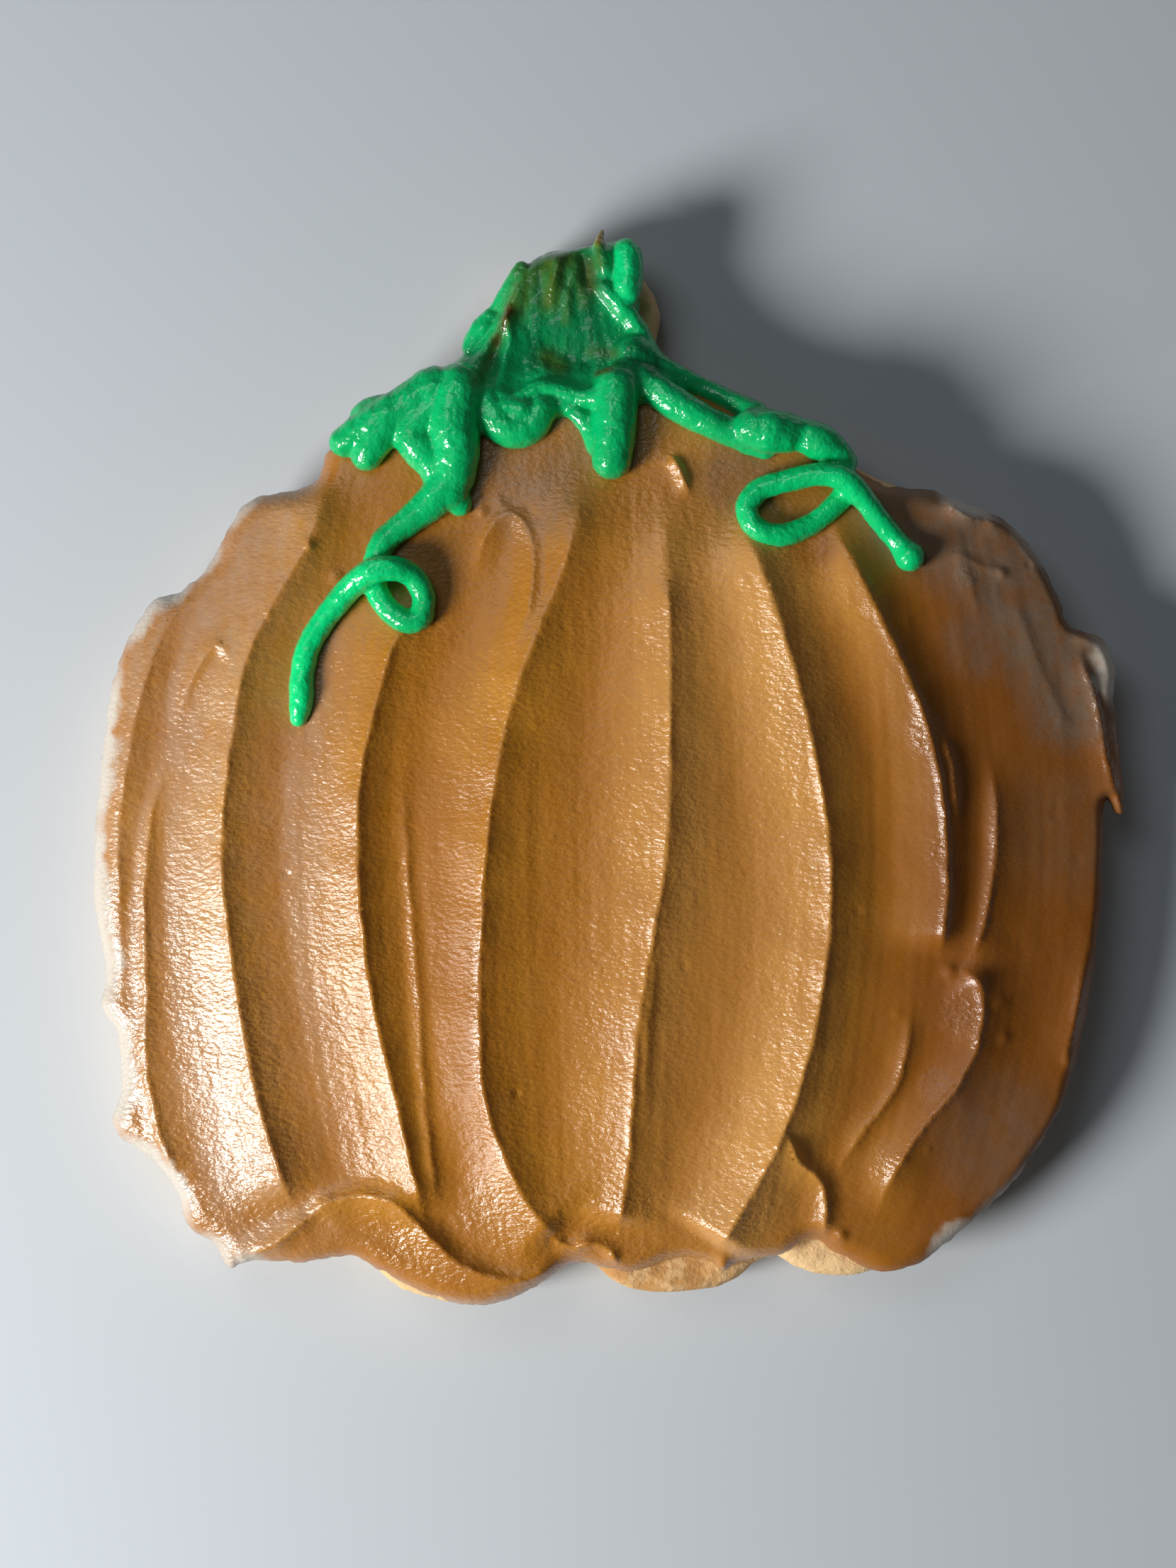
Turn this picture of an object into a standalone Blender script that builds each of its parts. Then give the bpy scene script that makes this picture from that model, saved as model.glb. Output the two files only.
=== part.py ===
"""A pumpkin-shaped sugar cookie that lies flat, as three solids.

biscuit       the baked base: cutter outline, rounded edges, stem and foot lobes
orange_icing  soft icing swept from top to foot with a knife, in curved ridges
green_icing   the smeared stem with piped leaves, ropes and two looped tendrils

The origin is the middle of the flat underside, with the stem towards +Y.
Routes and heights are written in millimetres and become metres when a mesh is made.
"""

import math
import random
from collections import namedtuple

import bmesh
import bpy
import numpy as np
from mathutils import Vector
from mathutils.geometry import delaunay_2d_cdt, tessellate_polygon

MM = 0.001

# Driving dimensions, in millimetres
BISCUIT_THICKNESS = 6.0
BISCUIT_EDGE_ROUND = 1.6
GAP = 0.3
ICING_FLOOR = BISCUIT_THICKNESS + GAP
VALLEY_THICKNESS = 2.4
DOME_RISE = 2.2
DOME_RADIUS = 52.0
DOME_MIDDLE_Y = -4.0
EDGE_WALL = 0.25
STEM_BASE_Y = 34.0
STEM_THICKNESS = 1.3
STEM_BLEND = 7.0
RIM_ROUND = 2.4
CLIMB_CURVE = 1.8
FALL_CURVE = 2.2

# Spacing of mesh points, in millimetres
OUTLINE_STEP = 2.2
CREST_STEP = 2.6
FILL_STEP = 4.4
PATCH_OUTLINE_STEP = 1.6
PATCH_FILL_STEP = 2.6
ROPE_STEP = 1.5
ROPE_SIDES = 2
RIDGE_SAMPLE_STEP = 1.5
SAMPLES_PER_SPAN = 24

# Where loose mesh points go: rings inside an edge and lines on a ridge's slopes,
# as shares of the rim's width and of the slopes' reach, and how far points keep apart
RING_SHARES = (0.1, 0.4, 1.0)
RING_MARGIN = 0.75
EAST_SHARES = (0.2, 0.6)
WEST_SHARES = (0.2, 0.55)
RING_CLEAR = 0.1
SLOPE_CLEAR = 0.9
SLOPE_MARGIN = 1.2
FILL_CLEAR = 2.6
FILL_MARGIN = 2.0
FILL_JITTER = 0.2
CREST_MARGIN = 1.0

SEED = 31

# The baked biscuit, clockwise from the right of its stem
BISCUIT_CROWN = [(5.0, 40.7), (12.6, 34.8), (23.2, 30.3), (33.2, 25.7), (41.5, 20.3)]
BISCUIT_EAST = [(46.3, 11.4), (48.1, 0.3), (47.0, -14.1), (44.3, -28.6), (38.8, -39.7)]
BISCUIT_WEST = [(-40.9, -43.1), (-46.4, -34.8), (-48.5, -20.3), (-48.8, -6.6), (-47.3, 6.6), (-42.3, 15.7)]
BISCUIT_SHOULDER = [(-35.0, 25.0), (-28.1, 27.4), (-23.3, 34.1), (-14.3, 39.5)]
BISCUIT_STEM = [(-11.6, 43.4), (-8.5, 49.3), (-2.6, 50.6), (2.2, 49.5), (4.9, 46.4), (5.3, 43.6)]
# Foot lobes from right to left: first x, last x, y where a lobe meets the next, lowest y
FOOT_LOBES = [
    (29.4, 16.0, -46.8, -50.0),
    (15.0, -2.4, -47.2, -51.7),
    (-4.0, -23.6, -47.4, -52.7),
    (-25.0, -38.6, -46.0, -47.4),
]
FOOT_LOBE_POINTS = 5

# The orange icing's edge, clockwise from the top of its stem
ICING_STEM_EAST = [(-0.4, 51.4), (2.4, 50.2), (2.9, 45.8), (3.0, 43.2), (6.4, 38.9)]
ICING_CROWN_EAST = [(13.9, 35.3), (19.4, 33.9), (23.0, 32.2), (24.0, 29.7), (27.0, 27.9), (31.5, 27.4)]
ICING_SHOULDER_EAST = [(38.5, 24.5), (41.7, 21.2), (44.1, 16.7), (45.2, 14.2), (48.2, 13.0), (49.6, 10.0)]
ICING_HOOK = [(49.5, 7.0), (50.1, 2.0), (50.2, -1.6), (50.5, -4.4), (49.2, -3.5), (48.6, -7.0)]
ICING_EAST = [(48.2, -13.4), (47.4, -20.7), (46.4, -26.0), (45.3, -30.3), (43.8, -34.3), (40.1, -39.8)]
ICING_CORNER_EAST = [(37.8, -42.2), (33.6, -46.0), (30.5, -48.3), (26.8, -49.2), (22.6, -47.6),
                     (20.0, -46.0)]
ICING_FOOT = [(17.1, -47.4), (12.8, -48.2), (11.2, -49.2), (9.2, -48.0), (6.3, -47.9), (1.9, -49.2),
              (-3.0, -48.2), (-6.1, -50.0), (-9.5, -51.8), (-13.3, -52.5), (-17.8, -51.3), (-22.6, -48.9)]
ICING_CORNER_WEST = [(-25.4, -47.7), (-30.0, -48.3), (-34.6, -48.1), (-37.0, -48.9), (-38.6, -46.4),
                     (-41.1, -44.7)]
ICING_WEST = [(-42.2, -41.6), (-44.4, -38.4), (-48.4, -35.2), (-47.7, -31.0), (-48.1, -26.0), (-49.7, -23.2),
              (-49.2, -19.6), (-50.3, -13.2), (-50.2, -6.0), (-49.7, 0.0), (-48.6, 8.2), (-46.8, 13.1)]
ICING_SHOULDER_WEST = [(-44.4, 16.6), (-41.6, 17.7), (-38.8, 20.4), (-37.4, 23.2), (-34.9, 26.4),
                       (-29.0, 28.0)]
ICING_STEM_WEST = [(-27.3, 31.5), (-24.3, 34.8), (-19.5, 36.9), (-14.4, 40.4), (-12.0, 43.4), (-8.8, 48.8),
                   (-4.4, 50.6)]

# A knife ridge: where its crest runs southwards, how high it stands above the valleys
# (a hollow has a height below zero), how far its slow west slope and its steep east
# side reach, and the length over which it fades out at its first and last end
Ridge = namedtuple("Ridge", "route height rise drop fade_in fade_out")

RIDGES = {
    "west_rim": Ridge([(-40.4, 17.4), (-44.2, 10.6), (-46.5, 1.0), (-47.4, -8.0), (-47.0, -20.0)],
                      0.5, 3.0, 4.0, 8, 12),
    "west_thin": Ridge([(-42.6, 2.0), (-44.4, -6.0), (-44.9, -14.0), (-44.7, -21.7), (-44.9, -27.0),
                        (-43.6, -35.0), (-41.2, -41.0)], 0.55, 1.8, 2.6, 12, 4),
    "west": Ridge([(-26.8, 29.3), (-28.6, 22.4), (-34.4, 11.6), (-36.3, 2.4), (-37.2, -7.9), (-36.2, -18.5),
                   (-33.8, -32.0), (-30.2, -43.0)], 1.7, 8.0, 6.0, 7, 4),
    "west_inner": Ridge([(-16.6, 20.0), (-20.8, 11.3), (-23.3, 2.0), (-24.1, -8.0), (-22.9, -20.7),
                         (-19.6, -35.5), (-17.6, -44.0)], 1.8, 8.0, 5.6, 12, 4),
    "west_line": Ridge([(-19.6, 4.5), (-19.4, -7.9), (-18.3, -21.7), (-17.6, -33.0), (-16.3, -43.0)],
                       0.32, 1.3, 1.5, 16, 5),
    "middle_west": Ridge([(-2.4, 30.0), (-3.9, 20.3), (-8.3, 9.2), (-11.1, -2.4), (-12.3, -18.3),
                          (-11.9, -31.0), (-8.3, -41.0), (-4.2, -45.6)], 2.0, 6.6, 8.4, 9, 3),
    "middle": Ridge([(5.4, 29.0), (5.9, 9.3), (5.5, -7.9), (3.0, -23.8), (1.9, -37.6), (0.9, -45.0)],
                    1.8, 8.6, 7.6, 14, 2.5),
    "middle_line": Ridge([(4.9, -15.5), (3.8, -25.2), (3.7, -34.5)], 0.18, 1.0, 1.2, 6, 8),
    "middle_east": Ridge([(12.0, 25.4), (15.4, 17.2), (18.6, 6.6), (20.8, -4.4), (21.3, -14.0), (20.0, -24.0),
                          (17.2, -34.0), (13.2, -41.8), (10.4, -46.6)], 2.2, 8.6, 7.0, 7, 2),
    "east": Ridge([(20.4, 26.0), (26.0, 15.0), (29.4, 7.4), (31.4, 1.4), (32.5, -7.0), (32.5, -13.0),
                   (31.9, -18.4)], 1.8, 7.0, 4.6, 9, 3),
    "east_thin": Ridge([(32.2, 4.0), (33.2, -0.3), (33.7, -6.0)], 0.45, 1.0, 1.4, 3, 4),
    "edge_upper": Ridge([(36.8, 2.4), (37.4, -3.6), (37.3, -8.6), (36.3, -14.6), (35.0, -18.8)],
                        0.9, 2.4, 5.4, 8, 3),
    "edge_lower": Ridge([(33.6, -18.9), (36.0, -21.4), (35.6, -26.4), (33.6, -30.6), (29.9, -35.2),
                         (27.2, -39.8), (25.8, -44.0)], 1.4, 4.4, 6.0, 2.5, 7),
    "edge_inner": Ridge([(29.4, -22.0), (28.2, -29.7), (24.2, -35.6), (21.6, -40.0)], 0.5, 2.2, 2.0, 6, 6),
    "foot_east": Ridge([(17.2, -34.4), (18.2, -37.6), (20.6, -39.9), (21.1, -43.0), (20.6, -45.6)],
                       0.8, 3.0, 2.0, 3, 2),
    "foot_fold": Ridge([(-29.4, -43.6), (-27.4, -42.0), (-24.0, -41.2), (-20.6, -41.9), (-17.2, -45.2),
                        (-13.8, -48.2), (-8.6, -49.4), (-4.4, -47.6)], 1.0, 4.2, 2.4, 3, 3),
    "foot_tip": Ridge([(-27.0, -42.0), (-31.6, -45.4), (-36.0, -48.0)], 0.9, 2.6, 2.2, 4, 0.6),
    "west_head": Ridge([(-42.2, 3.0), (-40.4, 8.4), (-37.8, 12.0), (-36.2, 9.6)], 0.3, 1.6, 2.6, 8, 3),
    "middle_head": Ridge([(-13.2, 17.0), (-11.8, 22.6), (-9.6, 24.6), (-7.6, 22.6), (-7.4, 17.0),
                          (-9.4, 10.0)], 0.4, 2.4, 1.6, 7, 7),
    "crown_nick": Ridge([(5.8, 30.4), (7.0, 28.6), (7.8, 26.0)], 0.8, 1.4, 1.0, 1, 2),
    "shoulder_nick": Ridge([(32.6, 22.0), (34.6, 18.8), (36.2, 14.0)], 0.45, 2.0, 1.4, 3, 4),
    "shoulder_fold": Ridge([(32.0, 26.2), (35.2, 24.2), (38.6, 24.0)], 0.5, 1.6, 1.6, 2, 2),
    "shoulder_step": Ridge([(38.9, 17.3), (40.4, 13.7), (42.2, 9.1), (43.9, 5.5), (45.6, 3.6)],
                           0.35, 3.0, 1.2, 3, 2),
    "east_rim": Ridge([(45.4, 12.2), (47.2, 7.0), (48.4, 1.0), (49.3, -2.6)], 0.6, 2.6, 1.6, 4, 1),
    "east_rim_low": Ridge([(46.8, -15.0), (45.1, -25.0), (43.2, -32.0)], 0.5, 3.0, 2.2, 8, 8),
}

# Piped green icing: points with their radius, and how far each is lifted or pressed down
ROPES = {
    "leaf_west": [(-16.6, 36.6, 2.4, 0), (-19.8, 34.7, 2.2, 0), (-22.4, 33.3, 2.0, 0), (-24.2, 32.3, 1.75, 0),
                  (-25.5, 31.6, 1.55, 0)],
    "leaf_west_tip": [(-20.6, 34.2, 1.9, 0), (-22.0, 32.4, 1.9, 0), (-23.0, 31.0, 1.75, 0),
                      (-23.3, 30.3, 1.6, 0)],
    "leaf_west_fold": [(-20.6, 35.2, 1.1, 0.6), (-22.4, 34.9, 1.3, 0.4), (-23.8, 34.1, 1.3, 0.2)],
    "leaf_south": [(-15.4, 35.4, 2.3, 0), (-17.6, 34.1, 2.1, 0), (-19.0, 32.5, 2.0, 0),
                   (-18.1, 30.9, 1.95, 0), (-16.8, 29.3, 1.75, 0), (-16.1, 27.4, 1.6, 0)],
    "vine_root": [(-14.4, 36.6, 2.6, 0), (-15.0, 33.8, 2.6, 0), (-14.7, 31.0, 2.4, 0), (-14.8, 28.6, 2.1, 0),
                  (-15.3, 26.6, 1.8, 0)],
    "vine_knob": [(-15.2, 27.0, 1.5, 0), (-14.3, 25.5, 1.2, 0)],
    "vine_west": [(-15.4, 27.6, 1.9, 0), (-17.0, 25.7, 1.75, 0), (-19.6, 23.6, 1.4, 0), (-21.7, 21.8, 1.3, 0),
                  (-22.5, 19.4, 1.25, 0), (-22.3, 17.2, 1.2, 0), (-21.2, 15.4, 1.2, 0), (-19.5, 14.2, 1.2, 0),
                  (-18.1, 14.5, 1.2, 0), (-17.7, 16.2, 1.15, 0.2)],
    "tail_west": [(-17.9, 15.0, 1.15, 0), (-17.8, 16.8, 1.2, 0.4), (-18.9, 18.6, 1.2, 1.1),
                  (-20.9, 19.2, 1.25, 1.9), (-22.9, 18.8, 1.3, 1.8), (-25.0, 17.2, 1.25, 0.7),
                  (-27.2, 14.6, 1.2, 0.1), (-28.8, 12.0, 1.2, 0), (-29.5, 9.2, 1.2, 0), (-29.6, 6.6, 1.2, 0),
                  (-29.9, 4.9, 0.9, 0)],
    "collar_knuckle": [(-14.6, 35.8, 1.4, 0.4), (-13.2, 34.6, 1.3, 0.3)],
    "collar_swirl": [(-11.8, 35.8, 1.6, 0), (-11.1, 33.9, 1.8, -0.2), (-9.4, 32.7, 1.85, -0.3),
                     (-7.6, 33.0, 1.7, -0.2), (-6.4, 34.6, 1.5, 0)],
    "collar_heart": [(-9.8, 34.7, 1.5, 0.1), (-8.3, 34.3, 1.6, 0.1)],
    "collar_fold": [(-12.7, 36.6, 0.8, 1.0), (-10.9, 36.0, 0.9, 1.0), (-9.3, 35.3, 1.0, 0.9),
                    (-7.8, 36.1, 0.9, 0.9), (-6.4, 36.8, 0.9, 0.9), (-4.6, 36.4, 0.9, 0.9),
                    (-2.6, 35.8, 0.9, 0.9), (-0.8, 35.7, 1.1, 0.9), (0.6, 35.2, 1.2, 0.8)],
    "finger": [(0.8, 36.8, 2.2, 0.2), (0.6, 33.2, 2.15, 0.1), (0.3, 29.8, 2.0, 0)],
    "finger_shoulder": [(-3.2, 34.3, 0.9, 0.3), (-1.9, 33.2, 1.1, 0.1), (-0.9, 31.3, 1.4, 0)],
    "stem_curl": [(1.7, 50.2, 1.4, 0.5), (1.95, 48.4, 1.5, 0.6), (1.7, 46.4, 1.5, 0.6), (1.5, 45.2, 1.1, 0.5)],
    "stem_nub": [(-0.9, 50.9, 0.6, 1.2), (-0.5, 49.3, 0.8, 1.3), (-0.1, 47.9, 0.65, 1.2)],
    "stem_spike": [(-0.9, 50.6, 0.55, 1.2), (-0.8, 51.7, 0.42, 1.0), (-0.6, 52.5, 0.26, 0.6)],
    "stem_edge": [(-0.5, 46.7, 0.8, 1.3), (1.0, 45.0, 0.95, 1.2), (2.5, 43.2, 1.05, 0.8),
                  (3.3, 41.0, 1.4, 0.2), (3.8, 39.6, 1.7, 0)],
    "edge_lobe_upper": [(-8.4, 48.7, 0.8, 0.5), (-9.6, 46.7, 0.85, 0.4), (-10.7, 44.9, 0.8, 0.2)],
    "edge_lobe_lower": [(-11.4, 44.0, 0.95, 0.3), (-12.3, 42.7, 1.2, 0.2), (-13.2, 41.1, 1.1, 0.1)],
    "rope_upper": [(2.4, 40.2, 2.0, 0), (4.6, 39.0, 1.5, 0), (7.0, 37.9, 1.2, 0), (9.6, 36.8, 1.0, 0),
                   (12.0, 35.6, 1.05, 0), (14.2, 34.3, 1.4, 0)],
    "rope_lower": [(2.0, 38.2, 1.9, 0), (4.4, 36.8, 1.7, 0), (6.4, 35.3, 1.65, 0), (9.0, 33.8, 1.5, 0),
                   (11.6, 32.6, 1.45, 0), (13.4, 32.0, 1.4, 0)],
    "rope_joined": [(13.8, 32.8, 1.9, 0.5), (15.4, 32.5, 2.2, 0.3), (17.2, 32.4, 2.0, 0),
                    (18.7, 32.2, 1.65, 0), (20.2, 31.6, 1.85, 0), (21.8, 30.7, 1.6, 0),
                    (22.9, 29.7, 1.25, 0)],
    "rope_tucked": [(13.2, 31.3, 0.95, 0), (15.2, 30.8, 0.95, 0)],
    "loop_east": [(21.4, 31.0, 1.3, 0), (22.7, 28.8, 1.15, 0), (22.8, 26.8, 1.1, 0), (21.6, 25.2, 1.1, 0),
                  (19.4, 23.5, 1.1, 0), (16.6, 22.5, 1.15, 0), (14.2, 23.2, 1.15, 0), (13.3, 25.2, 1.15, 0),
                  (14.4, 26.8, 1.15, 0.2)],
    "tail_east": [(13.4, 25.6, 1.15, 0), (14.6, 27.0, 1.15, 0.2), (17.6, 27.8, 1.15, 0.7),
                  (20.4, 28.3, 1.15, 1.4), (22.8, 27.7, 1.2, 1.7), (24.4, 26.1, 1.15, 1.0),
                  (26.4, 23.7, 1.1, 0.2), (28.0, 21.8, 1.1, 0), (29.0, 20.5, 1.55, 0)],
}
ROPE_SINK = 0.34
TIP_LENGTH = 0.8
# Each end of a rope narrows in two steps: share of the tip's length, share of the radius
TIP_STEPS = ((0.5, 0.8), (0.85, 0.42))
TIP_DROOP = 0.1

# A rope rests on what its middle and points round it touch, and sinks a little at the side
PROBES = 6
PROBE_REACH = 0.6
PROBE_GIVE = 0.4
EVENED_OVER = 5

# The knife-smeared patch that joins them, clockwise from its spike
PATCH_OUTLINE = [(-0.4, 51.6), (2.6, 51.6), (3.5, 49.4), (3.1, 45.2), (3.4, 42.0), (6.0, 39.6), (4.8, 36.2),
                 (1.4, 34.6), (-4.0, 34.0), (-10.6, 32.8), (-15.0, 32.6), (-18.4, 34.2), (-18.8, 36.8),
                 (-15.4, 39.6), (-12.6, 41.8), (-11.0, 44.6), (-8.6, 48.6), (-6.0, 50.6), (-3.2, 50.9)]
PATCH_THICKNESS = 1.7
PATCH_ROUND = 1.5
PATCH_SINK = 0.6
PATCH_RIDGES = {
    "streak_outer": Ridge([(-9.4, 44.4), (-11.2, 42.0), (-12.3, 39.6), (-12.8, 36.4)], 0.9, 1.3, 1.2, 1.5, 1),
    "streak_west": Ridge([(-8.2, 48.8), (-9.6, 44.8), (-9.7, 41.0), (-10.5, 37.8), (-10.9, 35.8)],
                         0.8, 1.2, 1.6, 1.5, 1),
    "streak_middle": Ridge([(-4.6, 50.4), (-5.3, 47.0), (-5.6, 44.4)], 0.7, 1.6, 1.2, 1, 2),
    "streak_east": Ridge([(-3.7, 47.4), (-3.9, 44.8), (-4.1, 42.6)], 0.4, 1.0, 1.0, 1.5, 1.5),
    "stem_hollow": Ridge([(-2.5, 50.6), (-2.2, 48.4), (-1.9, 46.2)], -0.9, 1.2, 1.2, 1, 1.5),
    "stem_bowl": Ridge([(-6.6, 42.6), (-4.4, 40.2), (-0.8, 39.2)], -0.5, 3.0, 3.0, 2, 2),
}

# The block that trims the green icing's underside level with the orange icing's floor
BED_WIDTH = 200.0
BED_DEPTH = 20.0

ORANGE = (0.51, 0.215, 0.035)
GREEN = (0.004, 0.35, 0.105)
BAKED = (0.80, 0.56, 0.30)


# Points along routes

def smooth_route(points, step, closed=False):
    """Even samples, about step apart, of the smooth curve through the points."""
    points = np.array(points, float)
    count = len(points)
    spans = count if closed else count - 1
    t = np.linspace(0, 1, SAMPLES_PER_SPAN, endpoint=False)[:, None]
    samples = []
    for i in range(spans):
        if closed:
            before, start, end, after = (points[(i + k) % count] for k in (-1, 0, 1, 2))
        else:
            before, start, end, after = (points[min(max(i + k, 0), count - 1)] for k in (-1, 0, 1, 2))
        samples.append(0.5 * (2 * start + (end - before) * t
                              + (2 * before - 5 * start + 4 * end - after) * t ** 2
                              + (3 * start - before - 3 * end + after) * t ** 3))
    samples = np.vstack(samples + [points[:1] if closed else points[-1:]])
    travelled = np.concatenate([[0], np.cumsum(np.linalg.norm(np.diff(samples[:, :2], axis=0), axis=1))])
    pieces = max(2, round(travelled[-1] / step))
    stations = np.linspace(0, travelled[-1], pieces + 1)[:-1 if closed else None]
    return np.stack([np.interp(stations, travelled, column) for column in samples.T], axis=1)


def nearest_on(route, x, y, closed=False):
    """Distance east of the route, distance from it, and the length along it, for each (x, y)."""
    ends = np.vstack([route, route[:1]]) if closed else route
    starts, spans = ends[:-1, :2], np.diff(ends[:, :2], axis=0)
    lengths = np.linalg.norm(spans, axis=1)
    begun = np.concatenate([[0], np.cumsum(lengths)[:-1]])
    best = np.full(x.shape, 1e9)
    side = np.zeros(x.shape)
    along = np.zeros(x.shape)
    for start, span, length, before in zip(starts, spans, lengths, begun):
        dx, dy = x - start[0], y - start[1]
        t = np.clip((dx * span[0] + dy * span[1]) / length ** 2, 0, 1)
        distance = np.hypot(dx - t * span[0], dy - t * span[1])
        nearer = distance < best
        best = np.where(nearer, distance, best)
        # The routes run southwards, so east is on the left of their direction
        side = np.where(nearer, np.sign(span[0] * dy - span[1] * dx), side)
        along = np.where(nearer, before + t * length, along)
    return side * best, best, along


def inside(route, x, y):
    """Whether each (x, y) lies within the closed route."""
    found = np.zeros(x.shape, bool)
    for (x0, y0), (x1, y1) in zip(route, np.roll(route, -1, axis=0)):
        crosses = (y0 > y) != (y1 > y)
        at = x0 + (y - y0) * (x1 - x0) / (y1 - y0 if y1 != y0 else 1)
        found ^= crosses & (x < at)
    return found


def ease(t):
    """A smooth step from 0 to 1."""
    t = np.clip(t, 0, 1)
    return t * t * (3 - 2 * t)


# Heights

def ridge_height(ridge, x, y):
    """A knife ridge's height: a slow hollow climb from the west, a sharp crest, a steep east side."""
    route = smooth_route(ridge.route, RIDGE_SAMPLE_STEP)
    east, _, along = nearest_on(route, x, y)
    total = np.linalg.norm(np.diff(route, axis=0), axis=1).sum()
    climb = np.clip(1 + east / ridge.rise, 0, 1) ** CLIMB_CURVE
    fall = np.clip(1 - east / ridge.drop, 0, 1) ** FALL_CURVE
    fade = ease(along / ridge.fade_in) * ease((total - along) / ridge.fade_out)
    return ridge.height * fade * np.where(east < 0, climb, fall)


def rounded_rim(distance, radius):
    """0 at an edge, rising as a quarter circle to 1 at the radius."""
    return np.sqrt(np.clip(1 - (1 - np.clip(distance / radius, 0, 1)) ** 2, 0, 1))


def icing_top(x, y):
    """Height of the orange icing's upper surface above the table, where there is icing."""
    _, from_edge, _ = nearest_on(ICING_EDGE, x, y, closed=True)
    body = VALLEY_THICKNESS + DOME_RISE * (1 - (np.hypot(x, y - DOME_MIDDLE_Y) / DOME_RADIUS) ** 2)
    relief = sum(ridge_height(ridge, x, y) for ridge in RIDGES.values())
    on_stem = ease((y - STEM_BASE_Y) / STEM_BLEND)
    thickness = (body + relief) * (1 - on_stem) + STEM_THICKNESS * on_stem
    within = np.where(inside(ICING_EDGE, x, y), rounded_rim(from_edge, RIM_ROUND), 0)
    return ICING_FLOOR + thickness * within


def patch_top(x, y):
    """Height of the smeared green patch."""
    _, from_edge, _ = nearest_on(PATCH_EDGE, x, y, closed=True)
    relief = sum(ridge_height(ridge, x, y) for ridge in PATCH_RIDGES.values())
    bulk = (PATCH_THICKNESS + relief) * rounded_rim(from_edge, PATCH_ROUND)
    return np.maximum(icing_top(x, y), ICING_FLOOR) + bulk


# Meshes

def object_from(name, mesh, collection):
    """A named object that shows the mesh."""
    obj = bpy.data.objects.new(name, mesh)
    collection.objects.link(obj)
    return obj


def evaluated_mesh(obj):
    """The object's form as a mesh, with its modifiers applied."""
    bpy.context.view_layer.update()
    return bpy.data.meshes.new_from_object(obj.evaluated_get(bpy.context.evaluated_depsgraph_get()))


def height_solid(name, edge, guides, loose, top, floor):
    """A solid with a flat or shaped floor, whose upper surface has edges along the guide lines."""
    points = [Vector(point) for point in edge]
    lines = []
    for guide in guides:
        lines += [(len(points) + i, len(points) + i + 1) for i in range(len(guide) - 1)]
        points += [Vector(point) for point in guide]
    points += [Vector(point) for point in loose]
    flat, _, faces, *_ = delaunay_2d_cdt(points, lines, [list(range(len(edge)))], 1, 1e-3)
    x = np.array([point.x for point in flat])
    y = np.array([point.y for point in flat])
    heights, floors = top(x, y), floor(x, y)
    shell = bmesh.new()
    upper = [shell.verts.new((px * MM, py * MM, pz * MM)) for px, py, pz in zip(x, y, heights)]
    for face in faces:
        shell.faces.new([upper[i] for i in face])
    close_underside(shell, floors, upper)
    bmesh.ops.recalc_face_normals(shell, faces=shell.faces)
    mesh = bpy.data.meshes.new(name)
    shell.to_mesh(mesh)
    shell.free()
    return mesh


def close_underside(shell, floors, upper):
    """Walls down from the open edge and a floor across it."""
    height = {vert: floor * MM for vert, floor in zip(upper, floors)}
    border = {}
    for edge in shell.edges:
        if edge.is_boundary:
            loop = edge.link_loops[0]
            border[loop.vert] = loop.link_loop_next.vert
    first = next(iter(border))
    ring = [first]
    while border[ring[-1]] is not first:
        ring.append(border[ring[-1]])
    lower = [shell.verts.new((vert.co.x, vert.co.y, height[vert])) for vert in ring]
    for i, vert in enumerate(ring):
        j = (i + 1) % len(ring)
        shell.faces.new((ring[j], vert, lower[i], lower[j]))
    for corners in tessellate_polygon([[vert.co for vert in lower]]):
        shell.faces.new([lower[i] for i in corners])


def guide_lines(ridges, edge):
    """Crest lines kept clear of the edge, and loose points beside them on both slopes."""
    crests, beside = [], []
    for ridge in ridges.values():
        route = smooth_route(ridge.route, CREST_STEP)
        _, from_edge, _ = nearest_on(edge, route[:, 0], route[:, 1], closed=True)
        route = route[inside(edge, route[:, 0], route[:, 1]) & (from_edge > CREST_MARGIN)]
        if len(route) < 2:
            continue
        crests.append(route)
        heading = np.gradient(route, axis=0)
        heading /= np.linalg.norm(heading, axis=1, keepdims=True)
        east = np.stack([-heading[:, 1], heading[:, 0]], axis=1)
        beside += [route + share * ridge.drop * east for share in EAST_SHARES]
        beside += [route - share * ridge.rise * east for share in WEST_SHARES]
    return crests, np.vstack(beside)


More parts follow.
